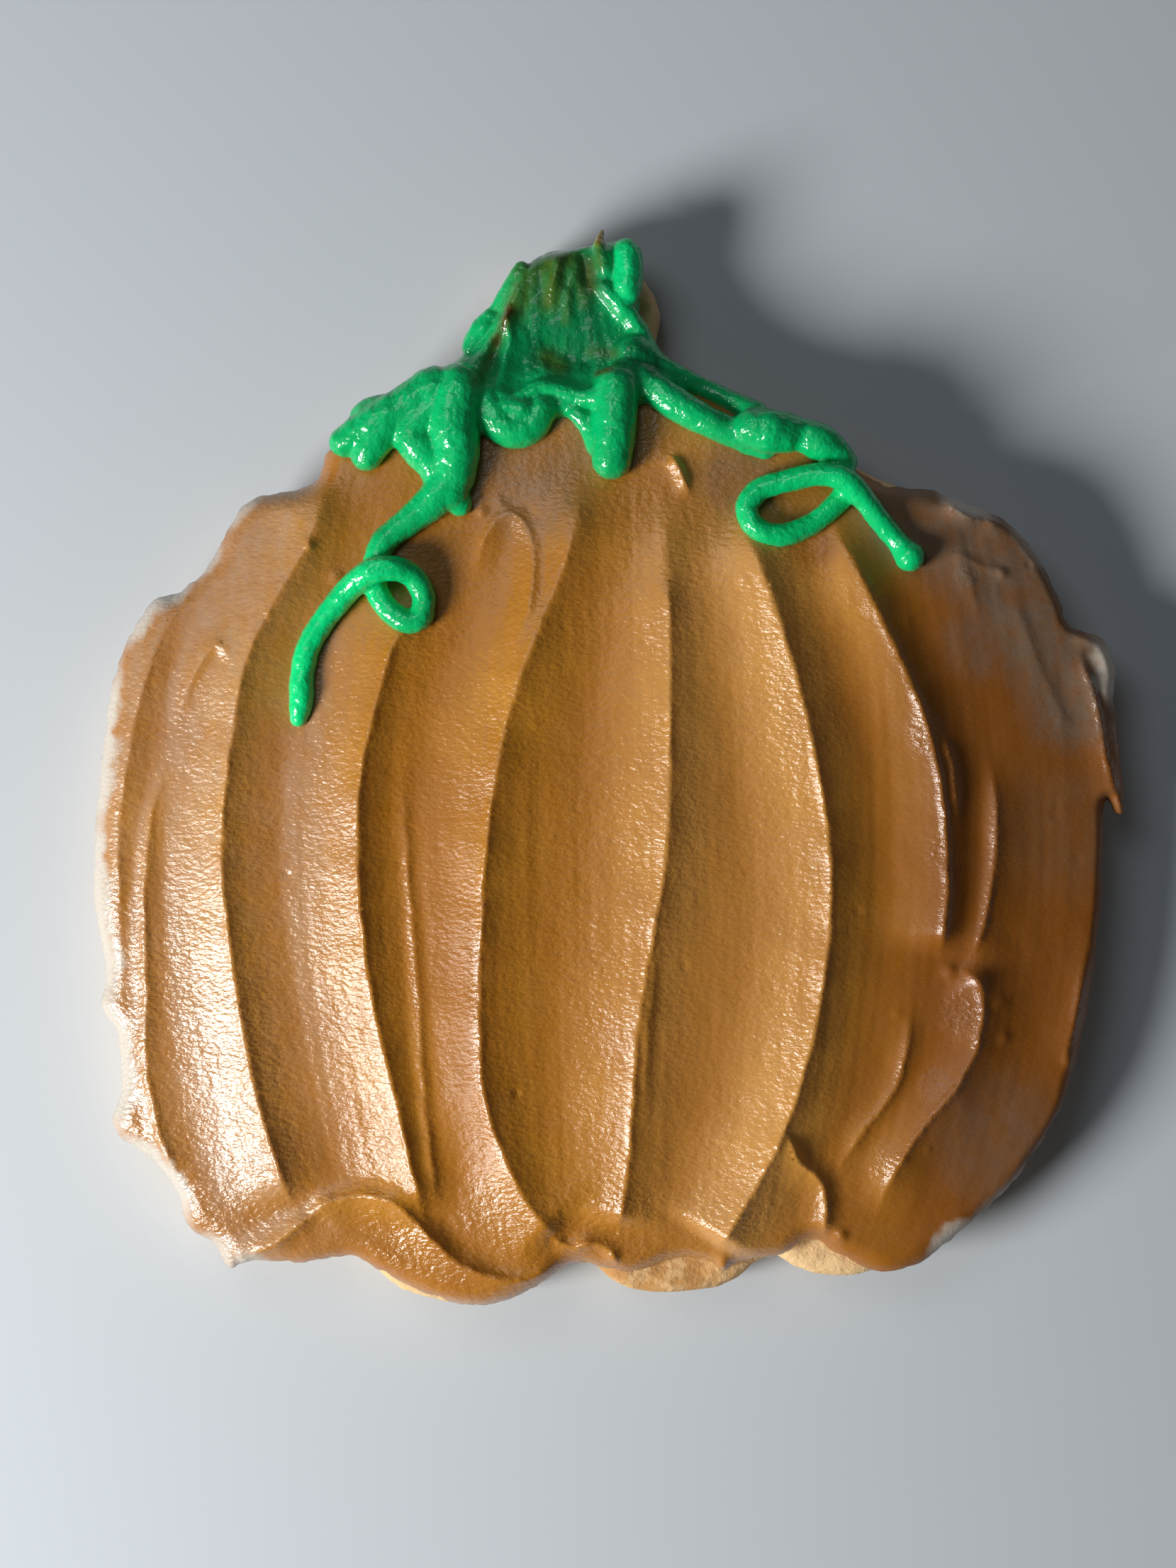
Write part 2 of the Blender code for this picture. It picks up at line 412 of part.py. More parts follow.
def fill_points(edge, crests, beside, spacing, rng):
    """Loose points: rings beside the edge, the ridges' slopes, and a scatter over the rest."""
    heading = np.roll(edge, -1, axis=0) - np.roll(edge, 1, axis=0)
    heading /= np.linalg.norm(heading, axis=1, keepdims=True)
    inward = np.stack([-heading[:, 1], heading[:, 0]], axis=1)
    low, high = edge.min(axis=0), edge.max(axis=0)
    stray = spacing * FILL_JITTER
    scatter = [
        (gx + rng.uniform(-stray, stray), gy + rng.uniform(-stray, stray))
        for gx in np.arange(low[0], high[0], spacing)
        for gy in np.arange(low[1], high[1], spacing)
    ]
    groups = [(edge + inward * RIM_ROUND * share, RING_CLEAR, RING_MARGIN * RIM_ROUND * share)
              for share in RING_SHARES]
    groups += [(beside, SLOPE_CLEAR, SLOPE_MARGIN), (np.array(scatter), FILL_CLEAR, FILL_MARGIN)]
    kept = np.vstack(crests)
    chosen = []
    for points, clear, margin in groups:
        _, from_edge, _ = nearest_on(edge, points[:, 0], points[:, 1], closed=True)
        within = inside(edge, points[:, 0], points[:, 1]) & (from_edge > margin)
        for point in points[within]:
            if np.min(np.linalg.norm(kept - point, axis=1)) > clear:
                kept = np.vstack([kept, point])
                chosen.append(point)
    return chosen


def material(name, colour, roughness):
    """A plain finish."""
    made = bpy.data.materials.new(name)
    made.use_nodes = True
    shader = made.node_tree.nodes["Principled BSDF"]
    shader.inputs["Base Color"].default_value = (*colour, 1)
    shader.inputs["Roughness"].default_value = roughness
    shader.inputs["Metallic"].default_value = 0.0
    return made


# The biscuit

def foot_lobes():
    """The scalloped foot of the cutter outline, from right to left."""
    points = []
    for first, last, join, lowest in FOOT_LOBES:
        for i in range(FOOT_LOBE_POINTS):
            turn = math.pi * (i + 0.5) / FOOT_LOBE_POINTS
            middle, half = (first + last) / 2, (first - last) / 2
            points.append((middle + half * math.cos(turn), join + (lowest - join) * math.sin(turn)))
    return points


def build_biscuit(collection):
    """The outline extruded to the biscuit's thickness, with its edges rounded."""
    outline = BISCUIT_CROWN + BISCUIT_EAST + foot_lobes() + BISCUIT_WEST + BISCUIT_SHOULDER + BISCUIT_STEM
    route = smooth_route(outline, OUTLINE_STEP, closed=True)
    curve = bpy.data.curves.new("biscuit", "CURVE")
    curve.dimensions = "2D"
    curve.fill_mode = "BOTH"
    curve.extrude = (BISCUIT_THICKNESS / 2 - BISCUIT_EDGE_ROUND) * MM
    curve.bevel_depth = BISCUIT_EDGE_ROUND * MM
    curve.bevel_resolution = 2
    curve.offset = -BISCUIT_EDGE_ROUND * MM
    spline = curve.splines.new("POLY")
    spline.points.add(len(route) - 1)
    for point, (x, y) in zip(spline.points, route):
        point.co = (x * MM, y * MM, 0, 1)
    spline.use_cyclic_u = True
    biscuit = object_from("biscuit", curve, collection)
    biscuit.location.z = BISCUIT_THICKNESS / 2 * MM
    biscuit.data.materials.append(material("Baked biscuit", BAKED, 0.85))
    return biscuit


# The orange icing

def icing_mesh(name, lift=0.0, floor=ICING_FLOOR):
    """The icing's form; lifted and deepened, it is also the cutter that fits the green icing to it."""
    rng = random.Random(SEED)
    crests, beside = guide_lines(RIDGES, ICING_EDGE)
    loose = fill_points(ICING_EDGE, crests, beside, FILL_STEP, rng)
    return height_solid(name, ICING_EDGE, crests, loose,
                        lambda x, y: icing_top(x, y) + EDGE_WALL + lift,
                        lambda x, y: np.full(x.shape, floor))


def build_orange_icing(collection):
    """The swept icing on the biscuit."""
    icing = object_from("orange_icing", icing_mesh("orange_icing"), collection)
    icing.data.materials.append(material("Orange icing", ORANGE, 0.5))
    return icing


# The green icing

def support_under(route):
    """The height a soft rope settles at: the icing below it, evened out along the rope."""
    x, y, radius, _ = route.T
    below = icing_top(x, y)
    for turn in np.linspace(0, 2 * math.pi, PROBES, endpoint=False):
        aside = PROBE_REACH * radius
        beside = icing_top(x + aside * math.cos(turn), y + aside * math.sin(turn))
        below = np.maximum(below, beside - PROBE_GIVE)
    padded = np.pad(below, EVENED_OVER // 2, mode="edge")
    return np.mean([padded[i:i + len(below)] for i in range(EVENED_OVER)], axis=0)


def rope_points(points):
    """A rope's line with its two rounded tips: rows of x, y, z and radius."""
    route = smooth_route(points, ROPE_STEP)
    height = support_under(route) + route[:, 2] * (1 - ROPE_SINK) + route[:, 3]
    line = [(x, y, z, radius) for (x, y, radius, _), z in zip(route, height)]
    for end, inner in ((0, 1), (-1, -2)):
        x, y, z, radius = line[end]
        outward = route[end, :2] - route[inner, :2]
        along, aside = outward * radius * TIP_LENGTH / np.linalg.norm(outward)
        drop = TIP_DROOP * radius
        tips = [(x + along * share, y + aside * share, z - drop * share, radius * narrow)
                for share, narrow in TIP_STEPS]
        line = tips[::-1] + line if end == 0 else line + tips
    return line


def rope(name, points, collection):
    """A piped rope: a tube of changing radius that lies on the icing."""
    line = rope_points(points)
    curve = bpy.data.curves.new(name, "CURVE")
    curve.dimensions = "3D"
    curve.bevel_depth = MM
    curve.bevel_resolution = ROPE_SIDES
    curve.use_fill_caps = True
    spline = curve.splines.new("POLY")
    spline.points.add(len(line) - 1)
    for point, (x, y, z, radius) in zip(spline.points, line):
        point.co = (x * MM, y * MM, z * MM, 1)
        point.radius = radius
    drawn = object_from(name, curve, collection)
    mesh = evaluated_mesh(drawn)
    tube = bmesh.new()
    tube.from_mesh(mesh)
    bmesh.ops.remove_doubles(tube, verts=tube.verts, dist=MM * MM)
    bmesh.ops.recalc_face_normals(tube, faces=tube.faces)
    tube.to_mesh(mesh)
    tube.free()
    bpy.data.objects.remove(drawn)
    return object_from(name, mesh, collection)


def cutters_for_green(collection):
    """The orange icing with its gap, and a block below its floor, as hidden cutters."""
    bed = object_from("icing_bed", icing_mesh("icing_bed", GAP, 0.0), collection)
    block = bpy.data.meshes.new("biscuit_bed")
    shell = bmesh.new()
    bmesh.ops.create_cube(shell, size=1.0)
    shell.to_mesh(block)
    shell.free()
    below = object_from("biscuit_bed", block, collection)
    below.scale = (BED_WIDTH * MM, BED_WIDTH * MM, BED_DEPTH * MM)
    below.location.z = (ICING_FLOOR - BED_DEPTH / 2) * MM
    for cutter in (bed, below):
        cutter.hide_render = True
        cutter.display_type = "WIRE"
    return bed, below


def build_green_icing(collection, cutters):
    """The patch and the ropes as one mass, cut to lie on what is below it."""
    rng = random.Random(SEED + 1)
    crests, beside = guide_lines(PATCH_RIDGES, PATCH_EDGE)
    loose = fill_points(PATCH_EDGE, crests, beside, PATCH_FILL_STEP, rng)
    patch = height_solid("green_icing", PATCH_EDGE, crests, loose, patch_top,
                         lambda x, y: np.full(x.shape, BISCUIT_THICKNESS - PATCH_SINK))
    icing = object_from("green_icing", patch, collection)
    piped = bpy.data.collections.new("Piped ropes")
    bpy.context.scene.collection.children.link(piped)
    for name, points in ROPES.items():
        rope(name, points, piped)
    join = icing.modifiers.new("Join ropes", "BOOLEAN")
    join.operand_type = "COLLECTION"
    join.collection = piped
    join.operation = "UNION"
    join.solver = "MANIFOLD"
    for cutter in cutters_for_green(cutters):
        cut = icing.modifiers.new("Rest on " + cutter.name, "BOOLEAN")
        cut.object = cutter
        cut.operation = "DIFFERENCE"
        cut.solver = "MANIFOLD"
    fused = evaluated_mesh(icing)
    icing.modifiers.clear()
    icing.data = fused
    for piece in list(piped.objects):
        bpy.data.objects.remove(piece)
    bpy.data.collections.remove(piped)
    icing.data.materials.append(material("Green icing", GREEN, 0.35))
    return icing


ICING_EDGE = smooth_route(
    ICING_STEM_EAST + ICING_CROWN_EAST + ICING_SHOULDER_EAST + ICING_HOOK + ICING_EAST + ICING_CORNER_EAST
    + ICING_FOOT + ICING_CORNER_WEST + ICING_WEST + ICING_SHOULDER_WEST + ICING_STEM_WEST,
    OUTLINE_STEP, closed=True)[::-1]
PATCH_EDGE = smooth_route(PATCH_OUTLINE, PATCH_OUTLINE_STEP, closed=True)[::-1]


def main():
    """Clears the scene and builds the three pieces."""
    for obj in list(bpy.data.objects):
        bpy.data.objects.remove(obj)
    cookie = bpy.data.collections.new("Pumpkin cookie")
    cutters = bpy.data.collections.new("Cutters")
    for collection in (cookie, cutters):
        bpy.context.scene.collection.children.link(collection)
    build_biscuit(cookie)
    build_orange_icing(cookie)
    build_green_icing(cookie, cutters)


main()
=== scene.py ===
"""The looks of a pumpkin-shaped iced cookie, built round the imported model.

Lengths and routes are in millimetres on the cookie's own axes, with the stem
towards +Y and the table at zero, and become metres where a mesh is made.
"""

import logging
import math
import random
from dataclasses import dataclass, field
from enum import Enum
from typing import NamedTuple

import bmesh
import bpy
import numpy as np
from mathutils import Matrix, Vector, kdtree, noise
from mathutils.geometry import delaunay_2d_cdt, tessellate_polygon


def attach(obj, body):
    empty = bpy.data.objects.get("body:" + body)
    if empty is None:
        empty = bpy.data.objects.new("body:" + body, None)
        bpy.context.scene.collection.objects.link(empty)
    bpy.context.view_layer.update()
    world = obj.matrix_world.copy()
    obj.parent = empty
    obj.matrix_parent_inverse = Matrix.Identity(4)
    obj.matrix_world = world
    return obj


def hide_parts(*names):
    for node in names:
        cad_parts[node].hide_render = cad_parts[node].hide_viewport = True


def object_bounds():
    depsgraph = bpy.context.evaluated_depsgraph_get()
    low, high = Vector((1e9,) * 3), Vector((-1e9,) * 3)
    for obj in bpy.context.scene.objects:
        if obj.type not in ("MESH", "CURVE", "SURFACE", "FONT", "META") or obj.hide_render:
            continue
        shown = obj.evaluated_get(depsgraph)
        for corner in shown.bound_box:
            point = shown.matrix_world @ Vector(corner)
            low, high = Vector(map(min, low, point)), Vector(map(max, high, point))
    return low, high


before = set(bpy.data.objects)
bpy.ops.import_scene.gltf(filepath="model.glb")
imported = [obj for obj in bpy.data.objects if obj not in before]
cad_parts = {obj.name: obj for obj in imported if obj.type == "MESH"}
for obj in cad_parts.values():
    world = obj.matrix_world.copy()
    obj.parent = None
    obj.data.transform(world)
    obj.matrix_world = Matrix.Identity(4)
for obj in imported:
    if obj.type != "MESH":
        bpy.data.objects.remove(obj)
CAD_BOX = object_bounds()

LOG = logging.getLogger("cookie")
MM = 0.001

Pair = tuple[float, float]
Quad = tuple[float, float, float, float]
Colour = tuple[float, float, float]


class Slot(Enum):
    """The record's material slots."""

    BISCUIT = "biscuit"
    ORANGE = "orange_icing"
    GREEN = "green_icing"


# Measures that the solids share, in millimetres
BISCUIT_THICKNESS = 6.0
GAP = 0.3
EDGE_WALL = 0.25
ICING_FLOOR = BISCUIT_THICKNESS + GAP
VALLEY_THICKNESS = 2.65
DOME_RISE = 2.2
DOME_RADIUS = 52.0
DOME_MIDDLE_Y = -4.0
STEM_BASE_Y = 34.0
STEM_THICKNESS = 1.55
STEM_BLEND = 7.0
RIM_ROUND = 2.4
CLIMB_CURVE = 1.8
FALL_CURVE = 2.2
ROUNDING_STEPS = (-1.0, -0.5, 0.0, 0.5, 1.0)
CURVE_STEPS = 24
FAR = 1e6
ANY_REACH = 1e9
MERGE_DISTANCE = 1e-4
GUIDE_CLEARANCE = 0.45

# The orange icing's edge, clockwise from the top of its stem
ICING_STEM_EAST = [(-0.4, 51.4), (2.4, 50.2), (2.9, 45.8), (3.0, 43.2), (6.4, 38.9)]
ICING_CROWN_EAST = [(13.9, 35.3), (19.4, 33.9), (23.0, 32.2), (24.0, 29.7), (27.0, 27.9), (31.5, 27.4)]
ICING_SHOULDER_EAST = [(38.5, 24.5), (41.7, 21.2), (44.1, 16.7), (45.2, 14.2), (48.2, 13.0), (49.6, 10.0)]
ICING_HOOK = [(49.5, 7.0), (50.1, 2.0), (50.35, -1.6), (50.45, -3.6), (50.2, -4.5), (49.6, -4.3), (49.1, -3.5),
              (48.7, -3.0), (48.5, -4.0), (48.5, -7.0)]
ICING_EAST = [(48.2, -13.4), (47.4, -20.7), (46.4, -26.0), (45.3, -30.3), (43.8, -34.3), (40.1, -39.8)]
ICING_CORNER_EAST = [(37.8, -42.2), (33.6, -46.0), (30.5, -48.3), (26.8, -49.2), (22.6, -47.6),
                     (20.0, -46.0)]
ICING_FOOT = [(17.1, -47.4), (12.8, -48.2), (11.2, -49.2), (9.2, -48.0), (6.3, -47.9), (1.9, -49.2),
              (-3.0, -48.2), (-6.1, -50.0), (-9.5, -51.8), (-13.3, -52.5), (-17.8, -51.3), (-22.6, -48.9)]
ICING_CORNER_WEST = [(-25.4, -47.7), (-30.0, -48.3), (-34.6, -48.1), (-37.0, -48.9), (-38.6, -46.4),
                     (-41.1, -44.7)]
ICING_WEST = [(-42.2, -41.6), (-44.4, -38.4), (-48.4, -35.2), (-47.7, -31.0), (-48.1, -26.0), (-49.7, -23.2),
              (-49.2, -19.6), (-50.3, -13.2), (-50.2, -6.0), (-49.7, 0.0), (-48.6, 8.2), (-46.8, 13.1)]
ICING_SHOULDER_WEST = [(-44.4, 16.6), (-41.6, 17.7), (-38.8, 20.4), (-37.4, 23.2), (-34.9, 26.4),
                       (-29.0, 28.0)]
ICING_STEM_WEST = [(-27.3, 31.5), (-24.3, 34.8), (-19.5, 36.9), (-14.4, 40.4), (-12.0, 43.4), (-8.8, 48.8),
                   (-4.4, 50.6)]
ICING_OUTLINE = (ICING_STEM_EAST + ICING_CROWN_EAST + ICING_SHOULDER_EAST + ICING_HOOK + ICING_EAST
                 + ICING_CORNER_EAST + ICING_FOOT + ICING_CORNER_WEST + ICING_WEST + ICING_SHOULDER_WEST
                 + ICING_STEM_WEST)


class Ridge(NamedTuple):
    """A knife ridge: its crest's route southwards, height, reach of both slopes and fade at both ends."""

    route: list[Pair]
    height: float
    rise: float
    drop: float
    fade_in: float
    fade_out: float


RIDGES: dict[str, Ridge] = {
    "west_rim": Ridge([(-40.4, 17.4), (-44.2, 10.6), (-46.5, 1.0), (-47.4, -8.0), (-47.0, -20.0)],
                      0.5, 3.0, 4.0, 8, 12),
    "west_thin": Ridge([(-42.6, 2.0), (-44.4, -6.0), (-44.9, -14.0), (-44.7, -21.7), (-44.9, -27.0),
                        (-43.6, -35.0), (-41.2, -41.0)], 0.55, 1.8, 2.6, 12, 4),
    "west": Ridge([(-26.8, 29.3), (-28.6, 22.4), (-34.4, 11.6), (-36.3, 2.4), (-37.2, -7.9), (-36.2, -18.5),
                   (-33.8, -32.0), (-30.2, -43.0)], 1.7, 8.0, 6.0, 7, 4),
    "west_inner": Ridge([(-16.6, 20.0), (-20.8, 11.3), (-23.3, 2.0), (-24.1, -8.0), (-22.9, -20.7),
                         (-19.6, -35.5), (-17.6, -44.0)], 1.8, 8.0, 5.6, 12, 4),
    "west_line": Ridge([(-19.6, 4.5), (-19.4, -7.9), (-18.3, -21.7), (-17.6, -33.0), (-16.3, -43.0)],
                       0.32, 1.3, 1.5, 16, 5),
    "middle_west": Ridge([(-2.4, 30.0), (-3.9, 20.3), (-8.3, 9.2), (-11.1, -2.4), (-12.3, -18.3),
                          (-11.9, -31.0), (-8.3, -41.0), (-4.2, -45.6)], 2.0, 7.6, 8.4, 9, 3),
    "middle": Ridge([(5.4, 29.0), (5.9, 9.3), (5.5, -7.9), (3.0, -23.8), (1.9, -37.6), (0.9, -45.0)],
                    1.8, 8.6, 7.6, 14, 2.5),
    "middle_line": Ridge([(4.9, -15.5), (3.8, -25.2), (3.7, -34.5)], 0.18, 1.0, 1.2, 6, 8),
    "middle_east": Ridge([(12.0, 25.4), (15.4, 17.2), (18.6, 6.6), (20.8, -4.4), (21.3, -14.0), (20.0, -24.0),
                          (17.2, -34.0), (13.2, -41.8), (10.4, -46.6)], 2.2, 8.6, 7.0, 7, 2),
    "east": Ridge([(20.4, 26.0), (26.0, 15.0), (29.4, 7.4), (31.4, 1.4), (32.5, -7.0), (32.5, -13.0),
                   (31.9, -18.4)], 1.8, 7.0, 4.6, 9, 3),
    "east_thin": Ridge([(32.2, 4.0), (33.2, -0.3), (33.7, -6.0)], 0.45, 1.0, 1.4, 3, 4),
    "edge_upper": Ridge([(36.8, 2.4), (37.4, -3.6), (37.3, -8.6), (36.3, -14.6), (35.0, -18.8)],
                        0.9, 2.4, 5.4, 8, 3),
    "edge_lower": Ridge([(33.6, -18.9), (36.0, -21.4), (35.6, -26.4), (33.6, -30.6), (29.9, -35.2),
                         (27.2, -39.8), (25.8, -44.0)], 1.4, 4.4, 6.0, 2.5, 7),
    "edge_inner": Ridge([(29.4, -22.0), (28.2, -29.7), (24.2, -35.6), (21.6, -40.0)], 0.5, 2.2, 2.0, 6, 6),
    "foot_east": Ridge([(17.2, -34.4), (18.2, -37.6), (20.6, -39.9), (21.1, -43.0), (20.6, -45.6)],
                       0.8, 3.0, 2.0, 3, 2),
    "foot_fold": Ridge([(-29.4, -43.6), (-27.4, -42.0), (-24.0, -41.2), (-20.6, -41.9), (-17.2, -45.2),
                        (-13.8, -48.2), (-8.6, -49.4), (-4.4, -47.6)], 1.0, 4.2, 2.4, 3, 3),
    "foot_tip": Ridge([(-27.0, -42.0), (-31.6, -45.4), (-36.0, -48.0)], 0.9, 2.6, 2.2, 4, 0.6),
    "west_head": Ridge([(-42.2, 3.0), (-40.4, 8.4), (-37.8, 12.0), (-36.2, 9.6)], 0.42, 1.6, 2.6, 8, 3),
    "middle_head": Ridge([(-13.2, 17.0), (-11.8, 22.6), (-9.6, 24.6), (-7.6, 22.6), (-7.4, 17.0),
                          (-9.4, 10.0)], 0.4, 2.4, 1.6, 7, 7),
    "crown_nick": Ridge([(5.8, 30.4), (7.0, 28.6), (7.8, 26.0)], 0.8, 1.4, 1.0, 1, 2),
    "shoulder_nick": Ridge([(32.6, 22.0), (34.6, 18.8), (36.2, 14.0)], 0.22, 2.0, 2.2, 3, 4),
    "shoulder_fold": Ridge([(32.0, 26.2), (35.2, 24.2), (38.6, 24.0)], 0.5, 1.6, 1.6, 2, 2),
    "shoulder_step": Ridge([(38.9, 17.3), (40.4, 13.7), (42.2, 9.1), (43.9, 5.5), (45.6, 3.6)],
                           0.16, 3.0, 1.4, 3, 2),
    "shoulder_lip": Ridge([(33.3, 21.0), (35.6, 19.9), (38.5, 19.3)], 0.18, 1.2, 1.0, 1, 0.6),
    "foot_knot": Ridge([(-5.6, -45.3), (-3.5, -46.3), (-1.9, -45.7), (0.3, -46.7), (0.9, -48.4)],
                       0.5, 1.2, 1.4, 1, 1),
    "east_rim": Ridge([(45.4, 12.2), (47.2, 7.0), (48.4, 1.0), (49.3, -2.6)], 0.6, 2.6, 1.6, 4, 1),
    "east_rim_low": Ridge([(46.8, -15.0), (45.1, -25.0), (43.2, -32.0)], 0.5, 3.0, 2.2, 8, 8),
}

# Piped green icing: points with their radius, and how far each is lifted or pressed down
ROPES: dict[str, list[Quad]] = {
    "leaf_west": [(-16.6, 36.6, 2.4, 0), (-19.8, 34.7, 2.2, 0), (-22.4, 33.3, 2.0, 0), (-24.2, 32.3, 1.75, 0),
                  (-25.5, 31.6, 1.55, 0)],
    "leaf_west_tip": [(-20.6, 34.2, 1.9, 0), (-22.0, 32.4, 1.9, 0), (-23.0, 31.0, 1.75, 0),
                      (-23.3, 30.3, 1.6, 0)],
    "leaf_west_fold": [(-20.6, 35.2, 1.1, 0.6), (-22.4, 34.9, 1.3, 0.4), (-23.8, 34.1, 1.3, 0.2)],
    "leaf_south": [(-15.4, 35.4, 2.3, 0), (-17.6, 34.1, 2.1, 0), (-19.0, 32.5, 2.0, 0),
                   (-18.1, 30.9, 1.95, 0), (-16.8, 29.3, 1.75, 0), (-16.1, 27.4, 1.6, 0)],
    "vine_root": [(-14.4, 36.6, 2.6, 0), (-15.0, 33.8, 2.6, 0), (-14.7, 31.0, 2.4, 0), (-14.8, 28.6, 2.1, 0),
                  (-15.3, 26.6, 1.8, 0)],
    "vine_knob": [(-15.2, 27.0, 1.5, 0), (-14.3, 25.5, 1.2, 0)],
    "vine_west": [(-15.4, 27.6, 1.9, 0), (-17.0, 25.7, 1.75, 0), (-19.6, 23.6, 1.4, 0), (-21.7, 21.8, 1.3, 0),
                  (-22.5, 19.4, 1.25, 0), (-22.3, 17.2, 1.2, 0), (-21.2, 15.4, 1.2, 0), (-19.5, 14.2, 1.2, 0),
                  (-18.1, 14.5, 1.2, 0), (-17.7, 16.2, 1.15, 0.2)],
    "tail_west": [(-17.9, 15.0, 1.15, 0), (-17.8, 16.8, 1.2, 0.4), (-18.9, 18.6, 1.2, 1.1),
                  (-20.9, 19.2, 1.25, 1.9), (-22.9, 18.8, 1.3, 1.8), (-25.0, 17.2, 1.25, 0.7),
                  (-27.2, 14.6, 1.2, 0.1), (-28.8, 12.0, 1.2, 0), (-29.5, 9.2, 1.2, 0), (-29.6, 6.6, 1.2, 0),
                  (-29.9, 4.9, 0.9, 0)],
    "collar_knuckle": [(-14.6, 35.8, 1.4, 0.4), (-13.2, 34.6, 1.3, 0.3)],
    "collar_swirl": [(-11.8, 35.8, 1.6, 0), (-11.1, 33.9, 1.8, -0.2), (-9.4, 32.7, 1.85, -0.3),
                     (-7.6, 33.0, 1.7, -0.2), (-6.4, 34.6, 1.5, 0)],
    "collar_heart": [(-9.8, 34.7, 1.5, 0.1), (-8.3, 34.3, 1.6, 0.1)],
    "collar_fold": [(-12.7, 36.6, 0.8, 1.0), (-10.9, 36.0, 0.9, 1.0), (-9.3, 35.3, 1.0, 0.9),
                    (-7.8, 36.1, 0.9, 0.9), (-6.4, 36.8, 0.9, 0.9), (-4.6, 36.4, 0.9, 0.9),
                    (-2.6, 35.8, 0.9, 0.9), (-0.8, 35.7, 1.1, 0.9), (0.6, 35.2, 1.2, 0.8)],
    "finger": [(0.8, 36.8, 2.2, 0.2), (0.6, 33.2, 2.15, 0.1), (0.3, 29.8, 2.0, 0)],
    "finger_shoulder": [(-3.2, 34.3, 0.9, 0.3), (-1.9, 33.2, 1.1, 0.1), (-0.9, 31.3, 1.4, 0)],
    "stem_curl": [(1.7, 50.2, 1.4, 0.5), (1.95, 48.4, 1.5, 0.6), (1.7, 46.4, 1.5, 0.6), (1.5, 45.2, 1.1, 0.5)],
    "stem_nub": [(-0.9, 50.9, 0.6, 1.2), (-0.5, 49.3, 0.8, 1.3), (-0.1, 47.9, 0.65, 1.2)],
    "stem_spike": [(-0.9, 50.6, 0.55, 1.2), (-0.8, 51.7, 0.42, 1.0), (-0.6, 52.5, 0.26, 0.6)],
    "stem_edge": [(-0.5, 46.7, 0.8, 1.3), (1.0, 45.0, 0.95, 1.2), (2.5, 43.2, 1.05, 0.8),
                  (3.3, 41.0, 1.4, 0.2), (3.8, 39.6, 1.7, 0)],
    "edge_lobe_upper": [(-8.4, 48.7, 0.8, 0.5), (-9.6, 46.7, 0.85, 0.4), (-10.7, 44.9, 0.8, 0.2)],
    "edge_lobe_lower": [(-11.4, 44.0, 0.95, 0.3), (-12.3, 42.7, 1.2, 0.2), (-13.2, 41.1, 1.1, 0.1)],
    "rope_upper": [(2.4, 40.2, 2.0, 0), (4.6, 39.0, 1.5, 0), (7.0, 37.9, 1.2, 0), (9.6, 36.8, 1.0, 0),
                   (12.0, 35.6, 1.05, 0), (14.2, 34.3, 1.4, 0)],
    "rope_lower": [(2.0, 38.2, 1.9, 0), (4.4, 36.8, 1.7, 0), (6.4, 35.3, 1.65, 0), (9.0, 33.8, 1.5, 0),
                   (11.6, 32.6, 1.45, 0), (13.4, 32.0, 1.4, 0)],
    "rope_joined": [(13.8, 32.8, 1.9, 0.5), (15.4, 32.5, 2.2, 0.3), (17.2, 32.4, 2.0, 0),
                    (18.7, 32.2, 1.65, 0), (20.2, 31.6, 1.85, 0), (21.8, 30.7, 1.6, 0),
                    (22.9, 29.7, 1.25, 0)],
    "rope_tucked": [(13.2, 31.3, 0.95, 0), (15.2, 30.8, 0.95, 0)],
    "loop_east": [(21.4, 31.0, 1.3, 0), (22.7, 28.8, 1.15, 0), (22.8, 26.8, 1.1, 0), (21.6, 25.2, 1.1, 0),
                  (19.4, 23.5, 1.1, 0), (16.6, 22.5, 1.15, 0), (14.2, 23.2, 1.15, 0), (13.3, 25.2, 1.15, 0),
                  (14.4, 26.8, 1.15, 0.2)],
    "tail_east": [(13.4, 25.6, 1.15, 0), (14.6, 27.0, 1.15, 0.2), (17.6, 27.8, 1.15, 0.7),
                  (20.4, 28.3, 1.15, 1.4), (22.8, 27.7, 1.2, 1.7), (24.4, 26.1, 1.15, 1.0),
                  (26.4, 23.7, 1.1, 0.2), (28.0, 21.8, 1.1, 0), (29.0, 20.5, 1.55, 0)],
}

